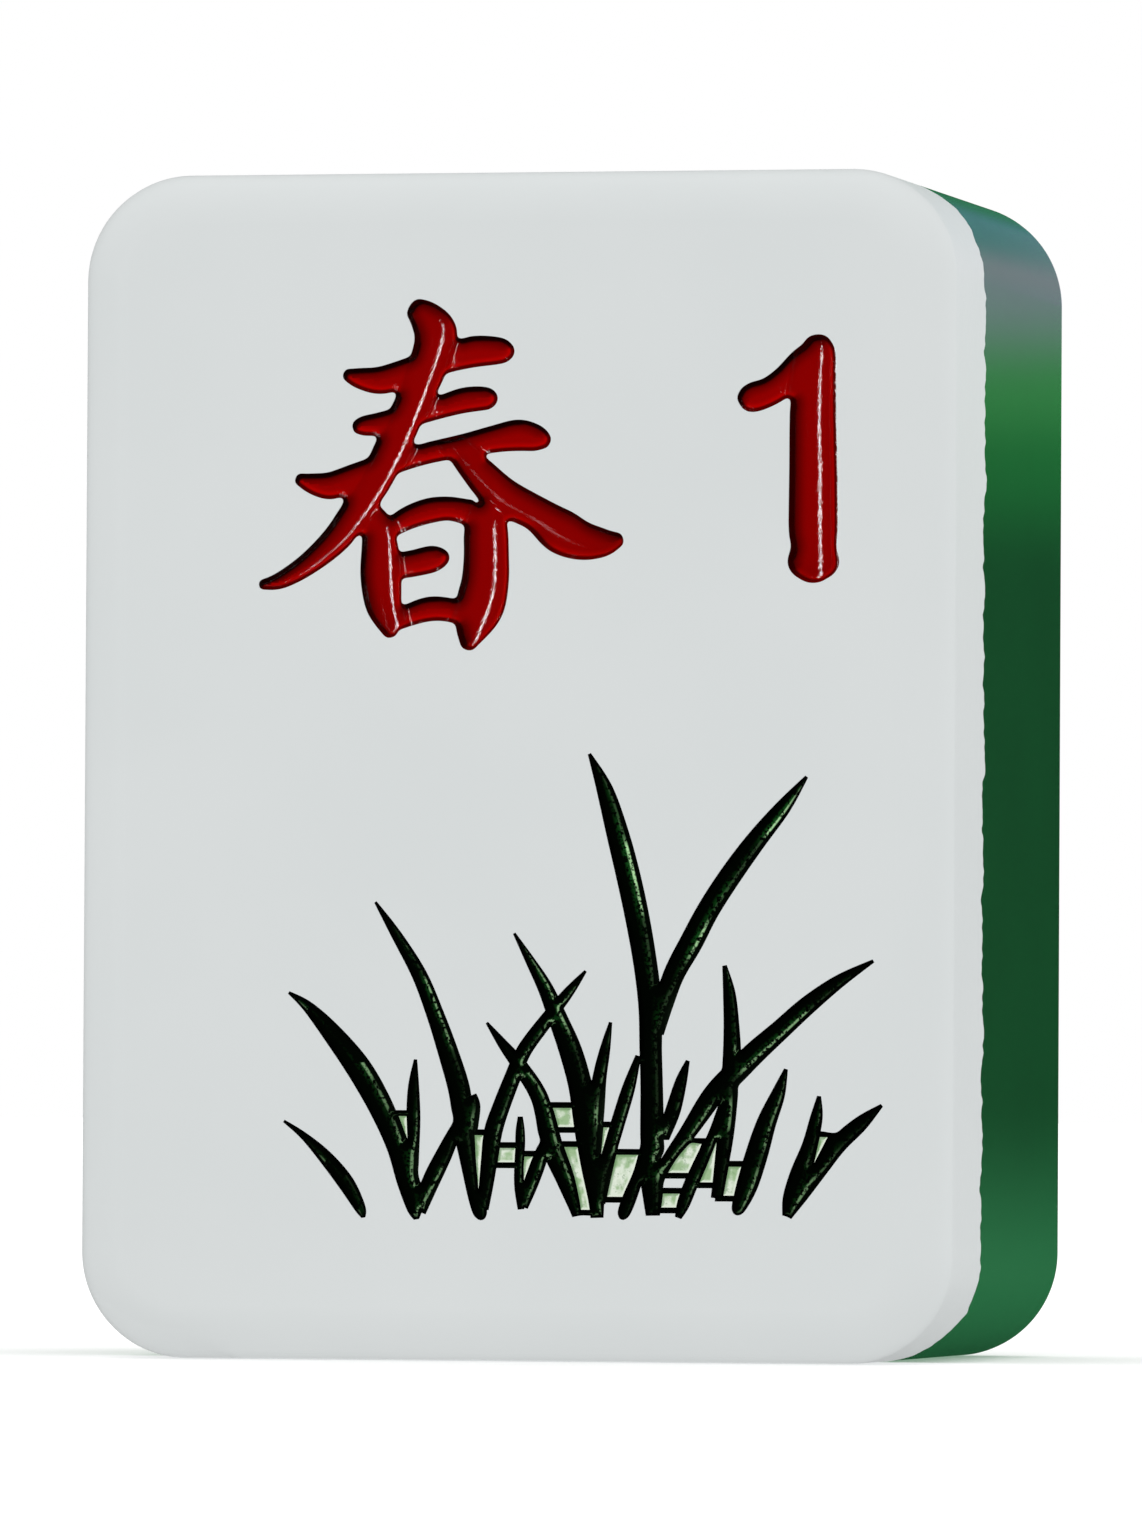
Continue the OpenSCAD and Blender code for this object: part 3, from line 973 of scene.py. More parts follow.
@dataclass
class SlabRing:
    """The tile's rounded outline, with evenly spread points that match from ring to ring.

    Each wave of the glued seam has how often it goes up and down round the tile,
    and its height in millimetres.
    """

    sizes: TileSizes
    spacing: float = 0.12
    lip: float = 0.1
    edge_steps: int = 12
    seam_waves: tuple[tuple[int, float], ...] = (
        (13, 0.08), (29, 0.1), (43, 0.1), (71, 0.08), (109, 0.07), (167, 0.05), (241, 0.045),
        (331, 0.035),
    )
    wave_shift: float = 1.7

    def __post_init__(self) -> None:
        """Places the centres and directions of all points once."""
        s = self.sizes
        core = np.array([s.width / 2 - s.corner_r, s.height / 2 - s.corner_r])
        arc = round(s.corner_r * math.pi / 2 / self.spacing)
        centres, directions = [], []
        # The side and end that each corner lies at, and the direction in which its arc starts.
        quarters = [(1, -1, -90), (1, 1, 0), (-1, 1, 90), (-1, -1, 180)]
        for turn, (x, z, first) in enumerate(quarters):
            centre = core * (x, z)
            angles = np.radians(first + np.arange(arc) * 90 / arc)
            centres.append(np.tile(centre, (arc, 1)))
            directions.append(np.stack([np.cos(angles), np.sin(angles)], 1))
            following = core * quarters[(turn + 1) % 4][:2]
            count = round(np.linalg.norm(following - centre) / self.spacing)
            shares = np.arange(count)[:, None] / count
            end = np.radians(first + 90)
            centres.append(centre * (1 - shares) + following * shares)
            directions.append(np.tile([np.cos(end), np.sin(end)], (count, 1)))
        self.centres = np.concatenate(centres) + (0, s.height / 2)
        self.directions = np.concatenate(directions)
        outer = self.at(0)
        runs = np.linalg.norm(np.roll(outer, -1, 0) - outer, axis=1)
        self.round_share = np.concatenate([[0], np.cumsum(runs)[:-1]]) / runs.sum()
        self.leans = np.arange(self.edge_steps + 1) * 90 / self.edge_steps

    def at(self, inset: float) -> np.ndarray:
        """Points of the outline drawn in by a distance.

        Args:
            inset: the distance.

        Returns:
            x and z of each point.
        """
        return self.centres + self.directions * (self.sizes.corner_r - inset)

    def round_over(
        self, shell: Shell, near: np.ndarray, normals: np.ndarray, leans: np.ndarray, front: float
    ) -> tuple[np.ndarray, np.ndarray]:
        """Adds the rings of a rounded edge behind a ring that is there.

        Args:
            shell: the surface to add to.
            near: indexes of the ring to start from.
            normals: a normal at each of its points, or one for all.
            leans: the turn of the surface from the face to the side at each ring, in degrees.
            front: -1 for the front edge, 1 for the back edge.

        Returns:
            The indexes and the normals of the last ring.
        """
        s = self.sizes
        for lean in np.radians(leans):
            inset = s.edge_r * (1 - math.sin(lean))
            y = front * (s.thickness / 2 - s.edge_r * (1 - math.cos(lean)))
            far = shell.add_points(raised(self.at(inset), y))
            leaning = raised(self.directions * math.sin(lean), front * math.cos(lean))
            shell.add_band(near, far, normals, leaning)
            near, normals = far, leaning
        return near, normals

    def seam(self) -> np.ndarray:
        """How far the glued seam strays from its plane at each point.

        The two blocks were sawn before they were glued, so the line wanders by a
        few tenths of a millimetre.

        Returns:
            The distance towards the back, negative towards the face.
        """
        stray = np.zeros(len(self.directions))
        for order, (cycles, height) in enumerate(self.seam_waves):
            start = self.wave_shift * order * order
            stray += height * np.sin(2 * np.pi * cycles * self.round_share + start)
        return stray


@dataclass(frozen=True)
class CutterRun:
    """One long pass of the engraving cutter along a stroke.

    Each share gives the stroke's middle as shares of the mark's width and
    height, then its half width as a share of the mark's width.
    """

    shares: tuple[tuple[float, float, float], ...]

    def line(
        self, corner: tuple[float, float], size: tuple[float, float], spread: float
    ) -> np.ndarray:
        """Places the run on the face.

        Args:
            corner: x and z of the mark's lower left corner.
            size: the mark's width and height.
            spread: how much wider the groove is on each side than its drawn stroke.

        Returns:
            x, z and half width at close steps along the run.
        """
        step = 0.1
        given = np.array(self.shares) * (size[0], size[1], size[0]) + (*corner, spread)
        return np.concatenate([curved(given, step), given[-1:]])


LONG_LEFT_SWEEP = CutterRun(shares=(
    (0.45, 0.98, 0.04), (0.482, 0.9, 0.053), (0.475, 0.86, 0.0525), (0.447, 0.767, 0.048),
    (0.413, 0.67, 0.044), (0.369, 0.56, 0.043), (0.305, 0.44, 0.042), (0.229, 0.332, 0.037),
    (0.143, 0.252, 0.031), (0.06, 0.2, 0.026), (-0.01, 0.17, 0.024),
))
RIGHT_SWEEP = CutterRun(shares=(
    (0.52, 0.6, 0.03), (0.6, 0.507, 0.045), (0.668, 0.438, 0.05), (0.757, 0.385, 0.05),
    (0.826, 0.339, 0.054), (0.888, 0.311, 0.052), (0.96, 0.306, 0.05), (1.03, 0.32, 0.05),
))
BOX_LEFT_SIDE = CutterRun(shares=(
    (0.315, 0.402, 0.03), (0.332, 0.358, 0.04), (0.339, 0.3, 0.046), (0.342, 0.218, 0.05),
    (0.348, 0.14, 0.05), (0.358, 0.09, 0.048), (0.378, 0.02, 0.046),
))
BOX_RIGHT_SIDE = CutterRun(shares=(
    (0.623, 0.44, 0.03), (0.623, 0.354, 0.055), (0.625, 0.268, 0.058), (0.622, 0.197, 0.061),
    (0.608, 0.128, 0.061), (0.586, 0.066, 0.058), (0.556, -0.02, 0.056),
))
NUMERAL_STEM = CutterRun(shares=(
    (0.745, 0.993, 0.16), (0.74, 0.93, 0.19), (0.72, 0.84, 0.205), (0.706, 0.7, 0.221),
    (0.711, 0.46, 0.23), (0.713, 0.223, 0.235), (0.719, 0.146, 0.235), (0.722, 0.06, 0.235),
    (0.722, -0.03, 0.235),
))


@dataclass
class Groove:
    """One engraved outline and the enamel that fills it.

    The paint starts a little below the face, hangs in a shallow dish and sinks
    into a crease along each run of the cutter. The dish grows with the square of
    the local half width down to the deepest. A run's roundness is its depth as a
    share of its half width, and crease says how sharply run and dish meet.
    Lengths are in millimetres. Pools are the outline's holes that hold wash, by
    node.
    """

    node: str
    depth: float
    sizes: TileSizes
    runs: tuple[CutterRun, ...] = ()
    corner_mm: tuple[float, float] = (0.0, 0.0)
    size_mm: tuple[float, float] = (0.0, 0.0)
    spread: float = 0.0
    pool_depth: float = 0.4
    step: float = 0.08
    grid: float = 0.075
    edge_rings: tuple[float, float] = (0.025, 0.06)
    grid_gap: float = 0.09
    sharp_turn: float = 50.0
    rounds: int = 1
    rim_drop: float = 0.04
    dish: float = 0.12
    deepest: float = 0.1
    crease: float = 16.0
    run_roundness: float = 0.5
    run_gap: float = 0.12
    lower_right: tuple[float, float] = (0.62, -0.785)
    loops: list[np.ndarray] = field(default_factory=list)
    pools: dict[str, int] = field(default_factory=dict)

    def __post_init__(self) -> None:
        """Reads and smooths the outline, unless it is given."""
        self.loops = self.loops or [
            softened(loop, self.step, self.sharp_turn, self.rounds)
            for loop in front_loops(self.node)
        ]

    def claim_pools(self, washes: list[str]) -> None:
        """Finds which of the outline's holes hold pools of wash.

        Args:
            washes: the wash nodes to look for.
        """
        for wash in washes:
            middle = front_loops(wash)[0].mean(0)[None]
            found = [
                (abs(loop_area(loop)), i) for i, loop in enumerate(self.loops)
                if loop_area(loop) < 0 and is_inside(middle, [loop])[0]
            ]
            if found:
                self.pools[wash] = min(found)[1]

    def face_loops(self) -> list[np.ndarray]:
        """Loops that the groove cuts in the face: all but the pools."""
        taken = set(self.pools.values())
        return [loop for i, loop in enumerate(self.loops) if i not in taken]

    def inner_points(self) -> np.ndarray:
        """Spreads points inside the groove: two rings along its edge and an even field.

        Returns:
            x and z of each point.
        """
        nearly = 0.93
        everything = np.concatenate(self.loops)
        low, high = everything.min(0), everything.max(0)
        rows = np.arange(low[1], high[1], self.grid * math.sqrt(0.75))
        x, z = np.meshgrid(np.arange(low[0], high[0], self.grid), rows)
        x = x + (np.arange(len(rows)) % 2)[:, None] * self.grid / 2
        wanted = [
            (loop + inward(loop) * ring, ring * nearly)
            for ring in self.edge_rings for loop in self.loops
        ]
        wanted.append((np.stack([x.ravel(), z.ravel()], 1), self.grid_gap))
        found = []
        for points, gap in wanted:
            points = points[is_inside(points, self.loops)]
            if len(points):
                found.append(points[from_edge(points, self.loops)[0] > gap])
        return np.concatenate(found)

    def level(self, patch: Patch) -> np.ndarray:
        """Solves the shape of the paint's skin, which is held at the groove's edge.

        The skin obeys the same rule as a stretched film under even pressure, on
        the patch's own triangles, and is found by conjugate gradients.

        Args:
            patch: the groove's triangles.

        Returns:
            The square of the local half width at each point, zero at the edge.
        """
        rounds_at_most, close_enough, least = 400, 1e-14, 1e-30
        weakest, strongest = 1e-4, 50
        count = len(patch.points)
        corners = [patch.points[patch.triangles[:, i]] for i in range(3)]
        starts, ends, weights = [], [], []
        for i in range(3):
            here, left, right = (corners[(i + k) % 3] for k in range(3))
            one, two = left - here, right - here
            cross = np.abs(one[:, 0] * two[:, 1] - one[:, 1] * two[:, 0])
            weights.append((one * two).sum(1) / np.maximum(cross, TINY) / 2)
            starts.append(patch.triangles[:, (i + 1) % 3])
            ends.append(patch.triangles[:, (i + 2) % 3])
        start, end = np.concatenate(starts), np.concatenate(ends)
        weight = np.clip(np.concatenate(weights), weakest, strongest)
        third_of_area = cross / 6
        load = np.bincount(patch.triangles.ravel(), np.repeat(third_of_area, 3), count)
        free = np.ones(count)
        free[np.concatenate(patch.rims)] = 0
        spread = np.bincount(start, weight, count) + np.bincount(end, weight, count)

        def pull(height: np.ndarray) -> np.ndarray:
            """Tension at each free point for given heights."""
            flow = weight * (height[start] - height[end])
            return (np.bincount(start, flow, count) - np.bincount(end, flow, count)) * free

        height = np.zeros(count)
        left_over = load * free
        search = left_over / spread
        measure = float(left_over @ search)
        for _ in range(rounds_at_most):
            pulled = pull(search)
            stride = measure / max(float(search @ pulled), least)
            height += stride * search
            left_over -= stride * pulled
            scaled = left_over / spread
            following = float(left_over @ scaled)
            if following < close_enough:
                break
            search = scaled + search * (following / measure)
            measure = following
        return 2 * np.maximum(height, 0)

    def dip(self, points: np.ndarray, square: np.ndarray, distance: np.ndarray) -> np.ndarray:
        """How far the paint sinks below its rim, in its dish and along the cutter's runs.

        Args:
            points: x and z of each point.
            square: the square of the local half width at each point.
            distance: each point's distance from the groove's edge.

        Returns:
            The dip at each point.
        """
        least = 1e-6
        dip = self.deepest * np.tanh(self.dish * square / self.deepest)
        for run in self.runs:
            line = run.line(self.corner_mm, self.size_mm, self.spread)
            own = cut_depth(points, line, self.run_roundness) * np.clip(distance / self.run_gap, 0, 1)
            deeper = np.maximum(np.maximum(dip, own), least)
            both = (dip / deeper) ** self.crease + (own / deeper) ** self.crease
            dip = deeper * both ** (1 / self.crease)
        return dip

    def enamel(self, name: str, material: bpy.types.Material, slot: str) -> bpy.types.Object:
        """Builds the enamel filling.

        Args:
            name: the piece's name.
            material: its material.
            slot: the record's material slot.

        Returns:
            The piece.
        """
        least = 1e-3
        patch = Patch.cut(self.loops, self.inner_points())
        square = self.level(patch)
        distance, away = from_edge(patch.points, self.loops)
        for loop, rim in zip(self.loops, patch.rims):
            away[rim], distance[rim] = inward(loop), 0
        half = np.maximum((square + distance**2) / np.maximum(2 * distance, least), least)
        # Facing is 1 near the upper left wall and -1 near the lower right one; the paint's painted shade
        # and painted light follow it.
        facing = away @ np.array(self.lower_right)
        values = {
            "edge_mm": distance,
            "facing": facing,
            "across": -np.sign(facing) * (1 - np.clip(distance / half, 0, 1)),
        }
        front, shell = self.sizes.face_y, Shell()
        skin = raised(patch.points, front + self.rim_drop + self.dip(patch.points, square, distance))
        top = shell.add_points(skin)
        shell.add_faces(patch.triangles, corner_normals(skin, patch.triangles)[patch.triangles])
        floor = Patch.cut(self.loops)
        bottom = shell.add_points(raised(floor.points, front + self.depth))
        shell.add_faces(bottom[floor.triangles[:, ::-1]], BACKWARD)
        for loop, rim, low_rim in zip(self.loops, patch.rims, floor.rims):
            outward = raised(-inward(loop), 0.0)
            shell.add_band(top[rim], bottom[low_rim], outward, outward)
        padding = np.zeros(len(floor.points))
        piece = shell.build(name, {key: np.concatenate([v, padding]) for key, v in values.items()})
        dress(piece, material, slot, self.node)
        return piece

    def wash(self, node: str, name: str, material: bpy.types.Material, slot: str) -> bpy.types.Object:
        """Builds one pool of wash, which fills its hole between the blades.

        Args:
            node: the wash's CAD node.
            name: the piece's name.
            material: its material.
            slot: the record's material slot.

        Returns:
            The piece.
        """
        hole = self.loops[self.pools[node]][::-1]
        pool = replace(self, node=node, depth=self.pool_depth, runs=(), loops=[hole], pools={})
        return pool.enamel(name, material, slot)


@dataclass
class FaceBlock:
    """The white front block with the engraved face."""

    sizes: TileSizes
    ring: SlabRing
    grooves: list[Groove]

    def build(self) -> bpy.types.Object:
        """Builds the block.

        Returns:
            The piece.
        """
        s, ring, shell = self.sizes, self.ring, Shell()
        cuts = [loop for groove in self.grooves for loop in groove.face_loops()]
        patch = Patch.cut([ring.at(s.edge_r), *cuts])
        front = shell.add_points(raised(patch.points, s.face_y))
        shell.add_faces(front[patch.triangles], FORWARD)
        edge, *rims = (front[rim] for rim in patch.rims)
        near, outward = ring.round_over(shell, edge, FORWARD, ring.leans[1:], -1)
        far = shell.add_points(raised(ring.at(0), s.film_y + s.film / 2 + ring.seam()))
        shell.add_band(near, far, outward, outward)
        inner = shell.add_points(raised(ring.at(ring.lip), s.film_y))
        shell.add_band(far, inner, BACKWARD, BACKWARD)
        shell.add_faces(inner[None, ::-1], BACKWARD)
        for groove in self.grooves:
            self.cut(shell, groove, rims)
        piece = shell.build("white_face_block")
        dress(piece, WHITE_RESIN.material(), "face_resin", "face_block")
        return piece

    def cut(self, shell: Shell, groove: Groove, rims: list[np.ndarray]) -> None:
        """Adds a groove's floor and walls, and the higher floors of its pools.

        Args:
            shell: the block's surface.
            groove: the groove.
            rims: indexes of the loops cut in the face, of which it takes its own from the front.
        """
        y = self.sizes.face_y
        floor = Patch.cut(groove.loops)
        bottom = shell.add_points(raised(floor.points, y + groove.depth))
        shell.add_faces(bottom[floor.triangles], FORWARD)
        for i, (loop, low_rim) in enumerate(zip(groove.loops, floor.rims)):
            if i in groove.pools.values():
                sill = Patch.cut([loop[::-1]])
                high = shell.add_points(raised(sill.points, y + groove.pool_depth))
                shell.add_faces(high[sill.triangles], FORWARD)
                top_rim = high[sill.rims[0]][::-1]
            else:
                top_rim = rims.pop(0)
            into = raised(inward(loop), 0.0)[::-1]
            shell.add_band(top_rim[::-1], bottom[low_rim][::-1], into, into)


@dataclass
class BackBlock:
    """The green back block."""

    sizes: TileSizes
    ring: SlabRing

    def build(self) -> bpy.types.Object:
        """Builds the block.

        Returns:
            The piece.
        """
        s, ring, shell = self.sizes, self.ring, Shell()
        inner = shell.add_points(raised(ring.at(ring.lip), s.film_y + s.film))
        shell.add_faces(inner[None], FORWARD)
        near = shell.add_points(raised(ring.at(0), s.film_y + s.film / 2 + ring.seam()))
        shell.add_band(inner, near, FORWARD, FORWARD)
        outward = raised(ring.directions, 0.0)
        last, _ = ring.round_over(shell, near, outward, ring.leans[::-1], 1)
        shell.add_faces(last[None, ::-1], BACKWARD)
        piece = shell.build("green_back_block")
        dress(piece, GREEN_RESIN.material(), "back_resin", "back_block")
        return piece


@dataclass
class Tile:
    """The whole tile: its two blocks, the glue between them and the enamel in its face."""

    sizes: TileSizes = field(default_factory=TileSizes)
    red_depth: float = 0.8
    blade_depth: float = 0.7

    def red_grooves(self) -> list[Groove]:
        """Reads the grooves of the two red marks, with the cutter's runs in them.

        Returns:
            The grooves.
        """
        season = Groove(
            "season_enamel", self.red_depth, self.sizes, sharp_turn=180, rounds=2, spread=0.05,
            runs=(LONG_LEFT_SWEEP, RIGHT_SWEEP, BOX_LEFT_SIDE, BOX_RIGHT_SIDE),
            corner_mm=(-8.6, 23.8), size_mm=(12.6, 11.9),
        )
        numeral = Groove(
            "numeral_enamel", self.red_depth, self.sizes, sharp_turn=180, rounds=2, spread=0.02,
            runs=(NUMERAL_STEM,), corner_mm=(7.85, 26.1), size_mm=(3.5, 8.2),
        )
        return [season, numeral]

    def green_grooves(self) -> list[Groove]:
        """Reads the grooves of the blades, with the pools of wash between them.

        Returns:
            The grooves.
        """
        blades = ("lone_blade_enamel", "tuft_enamel", "pair_enamel")
        grooves = [Groove(node, self.blade_depth, self.sizes) for node in blades]
        washes = sorted(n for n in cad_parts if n.startswith("wash_"))
        for groove in grooves:
            groove.claim_pools(washes)
        return grooves

    def build(self) -> None:
        """Builds and dresses every piece."""
        red, green = self.red_grooves(), self.green_grooves()
        ring = SlabRing(self.sizes)
        FaceBlock(self.sizes, ring, red + green).build()
        BackBlock(self.sizes, ring).build()
        for grooves, colour, finish, slot in (
            (red, "red", RED_ENAMEL, "red_enamel"),
            (green, "green", DARK_GREEN_ENAMEL, "dark_green_enamel"),
        ):
            paint = finish.material()
            for groove in grooves:
                groove.enamel(f"{colour}_{groove.node}", paint, slot)
        pale = PALE_WASH.material()
        for groove in green:
            for node in groove.pools:
                groove.wash(node, f"pale_{node}", pale, "pale_green_wash")
        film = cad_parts["bond_film"]
        film.data.materials.clear()
        film.data.materials.append(CURED_GLUE.material())
        log.info("bond_film: kept, %s", CURED_GLUE.name)


# The studio


@dataclass(frozen=True)
class PhotoCamera:
    """The camera, at the photograph's angle and distance.

    Angles are in degrees and lengths in millimetres. What ends in px is in
    pixels of the photograph.
    """

    yaw: float = 12.782
    rise: float = -1.425
    roll: float = 0.308
    distance: float = 472.05
    aim_height: float = 20.0
    focal_px: float = 13766.8
    centre_px: tuple[float, float] = (578.765, 773.042)
    frame_px: tuple[float, float] = (1142.0, 1523.0)
    sensor: float = 36.0
    clip: float = 10.0

    def back(self) -> Vector:
        """Finds the direction from the tile to the camera.

        Returns:
            A unit vector.
        """
        yaw, rise = math.radians(self.yaw), math.radians(self.rise)
        return Vector(
            (math.sin(yaw) * math.cos(rise), -math.cos(yaw) * math.cos(rise), math.sin(rise))
        )

    def build(self) -> bpy.types.Object:
        """Makes the scene's camera, aimed so that it needs no shift.

        Returns:
            The camera.
        """
        back = self.back()
        right = (-back).cross(Vector((0, 0, 1))).normalized()
        up = right.cross(-back)
        roll = math.radians(self.roll)
        right, up = (
            math.cos(roll) * right + math.sin(roll) * up,
            math.cos(roll) * up - math.sin(roll) * right,
        )
        across = (self.frame_px[0] / 2 - self.centre_px[0]) / self.focal_px
        upward = (self.centre_px[1] - self.frame_px[1] / 2) / self.focal_px
        axis = (-back + across * right + upward * up).normalized()
        right = (right - right.dot(axis) * axis).normalized()
        up = right.cross(axis)
        data = bpy.data.cameras.new("photo_camera")
        data.sensor_fit = "VERTICAL"
        data.sensor_height = self.sensor
        data.lens = self.focal_px / self.frame_px[1] * self.sensor
        data.clip_start = self.clip * MM
        camera = bpy.data.objects.new("photo_camera", data)
        turn = Matrix((right, up, -axis)).transposed().to_4x4()
        spot = (Vector((0, 0, self.aim_height)) + back * self.distance) * MM
        camera.matrix_world = Matrix.Translation(spot) @ turn
        bpy.context.scene.collection.objects.link(camera)
        bpy.context.scene.camera = camera
        log.info("photo_camera: lens %.1f mm, %.0f mm away", data.lens, self.distance)
        return camera


@dataclass
class Studio:
    """A plain pale floor under soft light from all round, with cards for the reflections.

    Places and distances are in millimetres, and angles in degrees.
    """

    camera: PhotoCamera
    horizon_level: float = 0.98
    zenith_level: float = 1.18
    bounce_level: float = 0.95
    floor_glow: float = 0.2
    floor_reach: float = 20000.0
    floor_drop: float = 0.01
    side_power: float = 2.1
    side_place: tuple[float, float, float] = (430.0, 680.0, 20.0)
    side_width: float = 500.0
    strip_lean: float = 8.2
    strip_half: float = 0.55
    strip_distance: float = 350.0
    flag_distance: float = 560.0
    floor_flag_height: float = 0.05
    sheen_y: float = 102.0
    sheen_z: tuple[float, float] = (30.0, 75.0)

    def build(self) -> None:
        """Builds the world, the floor, the lamp and the cards."""
        self.world()
        self.floor()
        self.side_fill()
        self.strip("long_strip", turns=(126, 204), level=42.0, colour="#ffffff")
        self.strip("short_strip", turns=(34, 66), level=7.0, colour="#ffd8dc")
        self.sheen()
        self.flags()

    def seen(self, tree: bpy.types.NodeTree) -> bpy.types.NodeSocket:
        """Tells the rays that show something from those that only light it.

        Args:
            tree: the tree of a material or of the world.

        Returns:
            A socket that is 1 for rays from the camera, a mirror or glass, and else 0.
        """
        path = add_node(tree, "ShaderNodeLightPath")
        most = path.outputs["Is Camera Ray"]
        for kind in ("Is Glossy Ray", "Is Transmission Ray"):
            both = add_node(
                tree, "ShaderNodeMath", {"operation": "MAXIMUM"}, {0: most, 1: path.outputs[kind]}
            )
            most = both.outputs[0]
        return most

    def world(self) -> None:
        """Lights the tile evenly from all round in front of a white background."""
        world = bpy.data.worlds.new("soft_dome")
        world.use_nodes = True
        tree = world.node_tree
        tree.nodes.clear()
        where = add_node(tree, "ShaderNodeTexCoord")
        axes = add_node(tree, "ShaderNodeSeparateXYZ", {}, {0: where.outputs["Generated"]})
        level = add_node(
            tree, "ShaderNodeMapRange", {},
            {"Value": axes.outputs["Z"], "To Min": self.horizon_level, "To Max": self.zenith_level},
        )
        light, white = (
            add_node(
                tree, "ShaderNodeBackground", {}, {"Color": linear("#ffffff"), "Strength": strength}
            )
            for strength in (level.outputs["Result"], 1.0)
        )
        mixed = add_node(
            tree, "ShaderNodeMixShader", {},
            {0: self.seen(tree), 1: light.outputs[0], 2: white.outputs[0]},
        )
        add_node(tree, "ShaderNodeOutputWorld", {}, {"Surface": mixed.outputs[0]})
        world.cycles.sampling_method = "NONE"
        bpy.context.scene.world = world

    def floor(self) -> None:
        """Lays the floor, which keeps the tile's shadow and throws the dome's light back evenly."""
        reach = self.floor_reach * MM
        mesh = bpy.data.meshes.new("floor")
        corners = [(-reach, -reach, 0), (reach, -reach, 0), (reach, reach, 0), (-reach, reach, 0)]
        mesh.from_pydata(corners, [], [(0, 1, 2, 3)])
        floor = bpy.data.objects.new("floor", mesh)
        floor.location.z = -self.floor_drop * MM
        material, tree = new_material("paper_floor")
        paper = add_node(tree, "ShaderNodeBsdfDiffuse", {}, {"Color": linear("#f2f2f2")})
        glow, bounce = (
            add_node(
                tree, "ShaderNodeEmission", {}, {"Color": linear("#ffffff"), "Strength": strength}
            )
            for strength in (self.floor_glow, self.bounce_level)
        )
        shown = add_node(tree, "ShaderNodeAddShader", {}, {0: paper.outputs[0], 1: glow.outputs[0]})
        both = add_node(
            tree, "ShaderNodeMixShader", {},
            {0: self.seen(tree), 1: bounce.outputs[0], 2: shown.outputs[0]},
        )
        add_node(tree, "ShaderNodeOutputMaterial", {}, {"Surface": both.outputs[0]})
        mesh.materials.append(material)
        bpy.context.scene.collection.objects.link(floor)

    def side_fill(self) -> None:
        """Adds a soft lamp at the right, so that the side is lit like the face."""
        data = bpy.data.lights.new("side_softbox", "AREA")
        data.shape = "DISK"
        data.size = self.side_width * MM
        data.energy = self.side_power
        lamp = bpy.data.objects.new("side_softbox", data)
        spot = Vector(self.side_place) * MM
        middle = Vector((0, 0, self.camera.aim_height)) * MM
        lamp.location = spot
        lamp.rotation_mode = "QUATERNION"
        lamp.rotation_quaternion = (spot - middle).to_track_quat("Z", "Y")
        lamp.visible_glossy = False
        bpy.context.scene.collection.objects.link(lamp)

    def card(
        self,
        name: str,
        kind: CardKind,
        grid: np.ndarray,
        colour: str = "#000000",
        level: float = 0.0,
        bands: tuple[tuple[float, str], ...] = (),
        axis: str = "Z",
    ) -> bpy.types.Object:
        """Makes a curved card that only reflections see.

        Args:
            name: the card's name.
            kind: what it does.
            grid: rows of points in metres.
            colour: its colour.
            level: how bright it is.
            bands: places in millimetres with the colours there, in place of one colour.
            axis: the axis along which these places lie.

        Returns:
            The card.
        """
        rows, columns = grid.shape[:2]
        index = np.arange(rows * columns).reshape(rows, columns)
        quads = np.stack([index[:-1, :-1], index[:-1, 1:], index[1:, 1:], index[1:, :-1]], -1)
        mesh = bpy.data.meshes.new(name)
        mesh.from_pydata(grid.reshape(-1, 3).tolist(), [], quads.reshape(-1, 4).tolist())
        material, tree = new_material(f"{kind.value}_card")
        shown: Any = linear(bands[0][1] if bands else colour)
        for (low, _), (high, upper) in zip(bands[:-1], bands[1:]):
            shown = coated(tree, shown, upper, Fade(place_along(tree, axis), low * MM, high * MM))
        glow = add_node(tree, "ShaderNodeEmission", {}, {"Color": shown, "Strength": level})
        add_node(tree, "ShaderNodeOutputMaterial", {}, {"Surface": glow.outputs[0]})
        mesh.materials.append(material)
        card = bpy.data.objects.new(name, mesh)
        card.visible_camera = card.visible_diffuse = card.visible_shadow = False
        card.visible_transmission = card.visible_volume_scatter = False
        bpy.context.scene.collection.objects.link(card)
        return card

    def strip(self, name: str, turns: tuple[float, float], level: float, colour: str) -> None:
        """Adds a bent strip light that draws a thin line in the grooves.

        A groove's slope that leans by the strip's lean towards one of its turns
        shows the strip to the camera.

        Args:
            name: the strip's name.
            turns: first and last direction of the slopes in the face plane, in degrees.
            level: how bright it is.
            colour: its colour.
        """
        view = np.array(self.camera.back())
        centre = np.array([0, 0, self.camera.aim_height]) * MM
        steps = 64
        turn = np.radians(np.linspace(*turns, steps))
        aside = np.stack([np.cos(turn), np.sin(turn)], 1)
        rows = []
        for lean in np.radians([self.strip_lean - self.strip_half, self.strip_lean + self.strip_half]):
            normal = raised(aside * math.sin(lean), -math.cos(lean))
            light = 2 * (normal @ view)[:, None] * normal - view
            rows.append(centre + light * self.strip_distance * MM)
        self.card(name, CardKind.GLOW, np.stack(rows), colour, level)

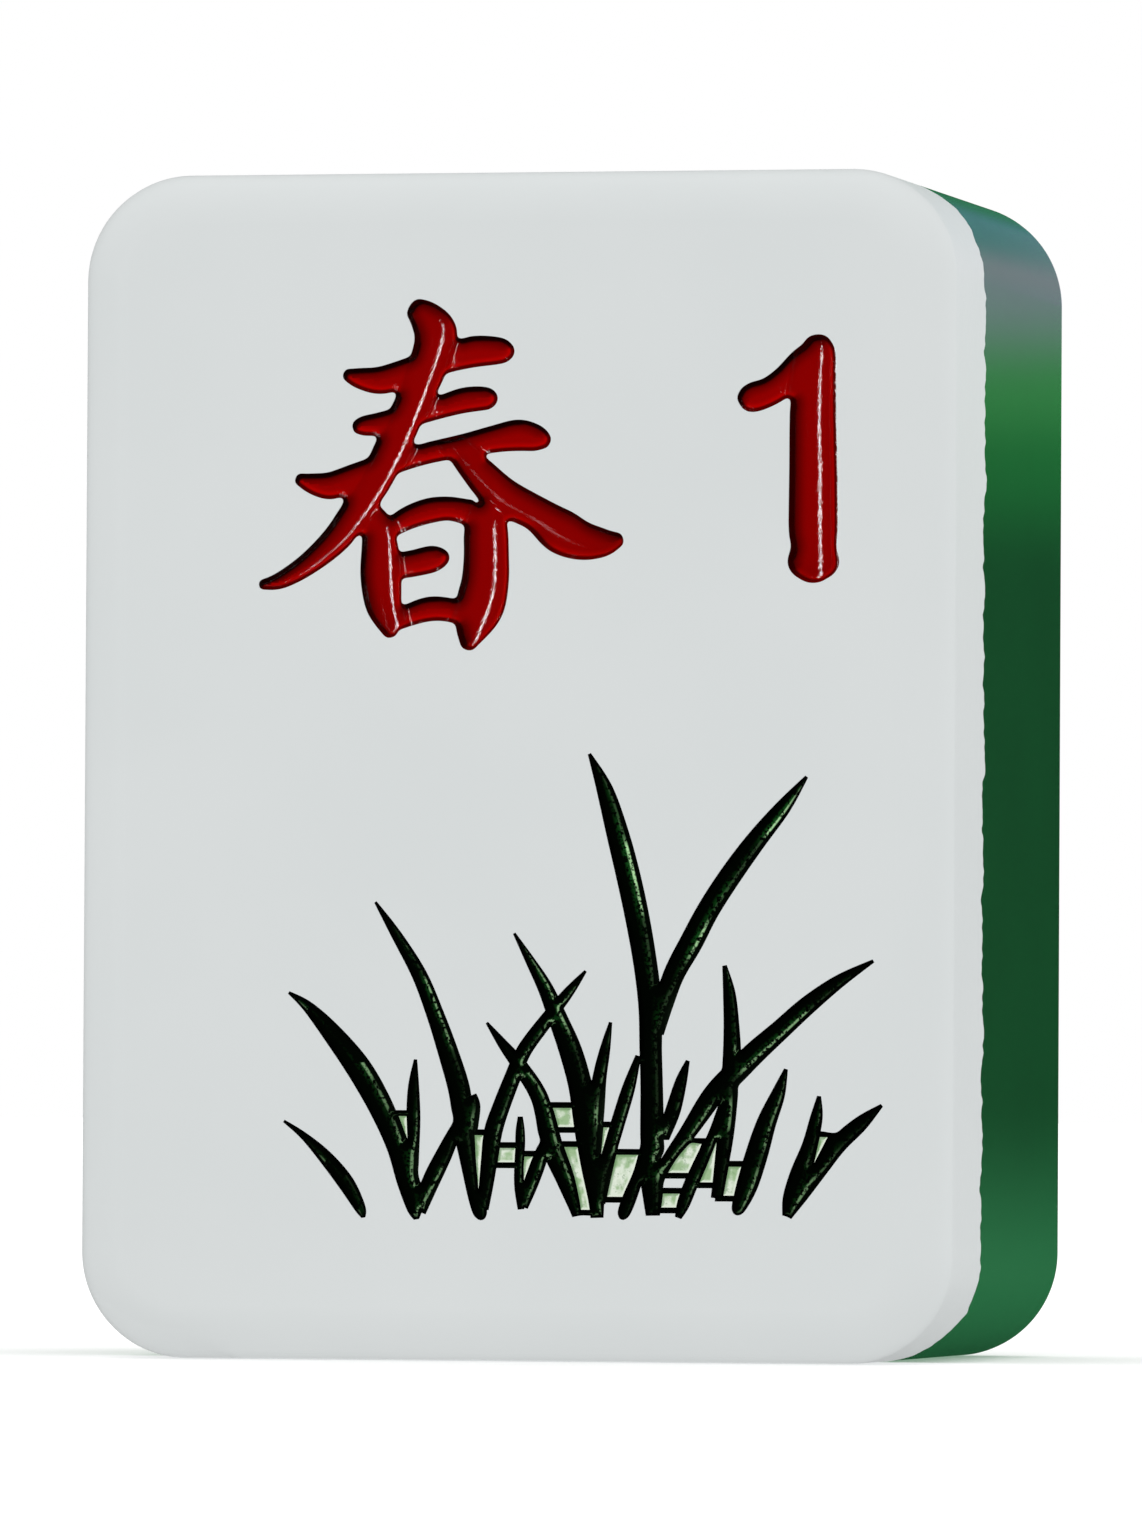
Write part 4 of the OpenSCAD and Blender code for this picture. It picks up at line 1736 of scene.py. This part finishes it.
    def sphere_grid(
        self, radius: float, azimuths: tuple[float, float], rises: tuple[float, float]
    ) -> np.ndarray:
        """Points of a part of a sphere round the tile.

        Args:
            radius: its radius in millimetres.
            azimuths: first and last angle round the tile, in degrees from +X.
            rises: first and last angle above the table, in degrees.

        Returns:
            Rows of points in metres.
        """
        columns, rows = 48, 24
        turn, up = np.meshgrid(
            np.radians(np.linspace(*azimuths, columns)), np.radians(np.linspace(*rises, rows))
        )
        grid = np.stack([np.cos(turn) * np.cos(up), np.sin(turn) * np.cos(up), np.sin(up)], -1)
        return grid * radius * MM + np.array([0, 0, self.camera.aim_height * MM])

    def sheet(self, x: tuple[float, float], y: tuple[float, float], z: tuple[float, float]) -> np.ndarray:
        """Corners of a flat sheet that runs along X, and along Y or Z, in metres."""
        rows = [[(a, b, c) for a in x] for b, c in zip(y, z)]
        return np.array(rows) * MM

    def sheen(self) -> None:
        """Adds the cards that show in the upper end of the green block's right side.

        The first turns from black through green and grey to teal with its
        height. The second stands beside it, shows in the block's rounded corner
        and turns back to green.
        """
        upward = (
            (31.0, "#000000"), (35.5, "#1d7a33"), (38.6, "#4aab58"), (42.8, "#aeafc8"),
            (50.0, "#b1acc5"), (60.0, "#6396a4"),
        )
        aside = ((-8.0, "#2c7344"), (1.0, "#3f8468"), (8.0, "#588d95"))
        for name, reach, bands, axis in (
            ("sheen_card", (8, 70), upward, "Z"),
            ("corner_card", (-16, 8), aside, "X"),
        ):
            grid = self.sheet(reach, (self.sheen_y, self.sheen_y), self.sheen_z)
            self.card(name, CardKind.GLOW, grid, level=1.0, bands=bands, axis=axis)

    def flags(self) -> None:
        """Adds the black cards that keep the dark paints and the green side deep."""
        far = self.flag_distance
        low = (self.floor_flag_height, self.floor_flag_height)
        front = self.sphere_grid(far, azimuths=(-200, 20), rises=(-3, 88))
        rear = self.sphere_grid(far, azimuths=(20, 165), rises=(-3, 60))
        below = self.sheet((-far, far), (-far, far), low)
        for name, grid in (("front_flag", front), ("rear_flag", rear), ("floor_flag", below)):
            self.card(name, CardKind.FLAG, grid)


def main() -> None:
    """Builds the tile and the studio round it."""
    logging.basicConfig(level=logging.INFO, format="%(name)s: %(message)s", force=True)
    Tile().build()
    camera = PhotoCamera()
    camera.build()
    Studio(camera).build()
    bpy.context.scene.view_settings.view_transform = "Standard"


if __name__ == "__main__":
    main()
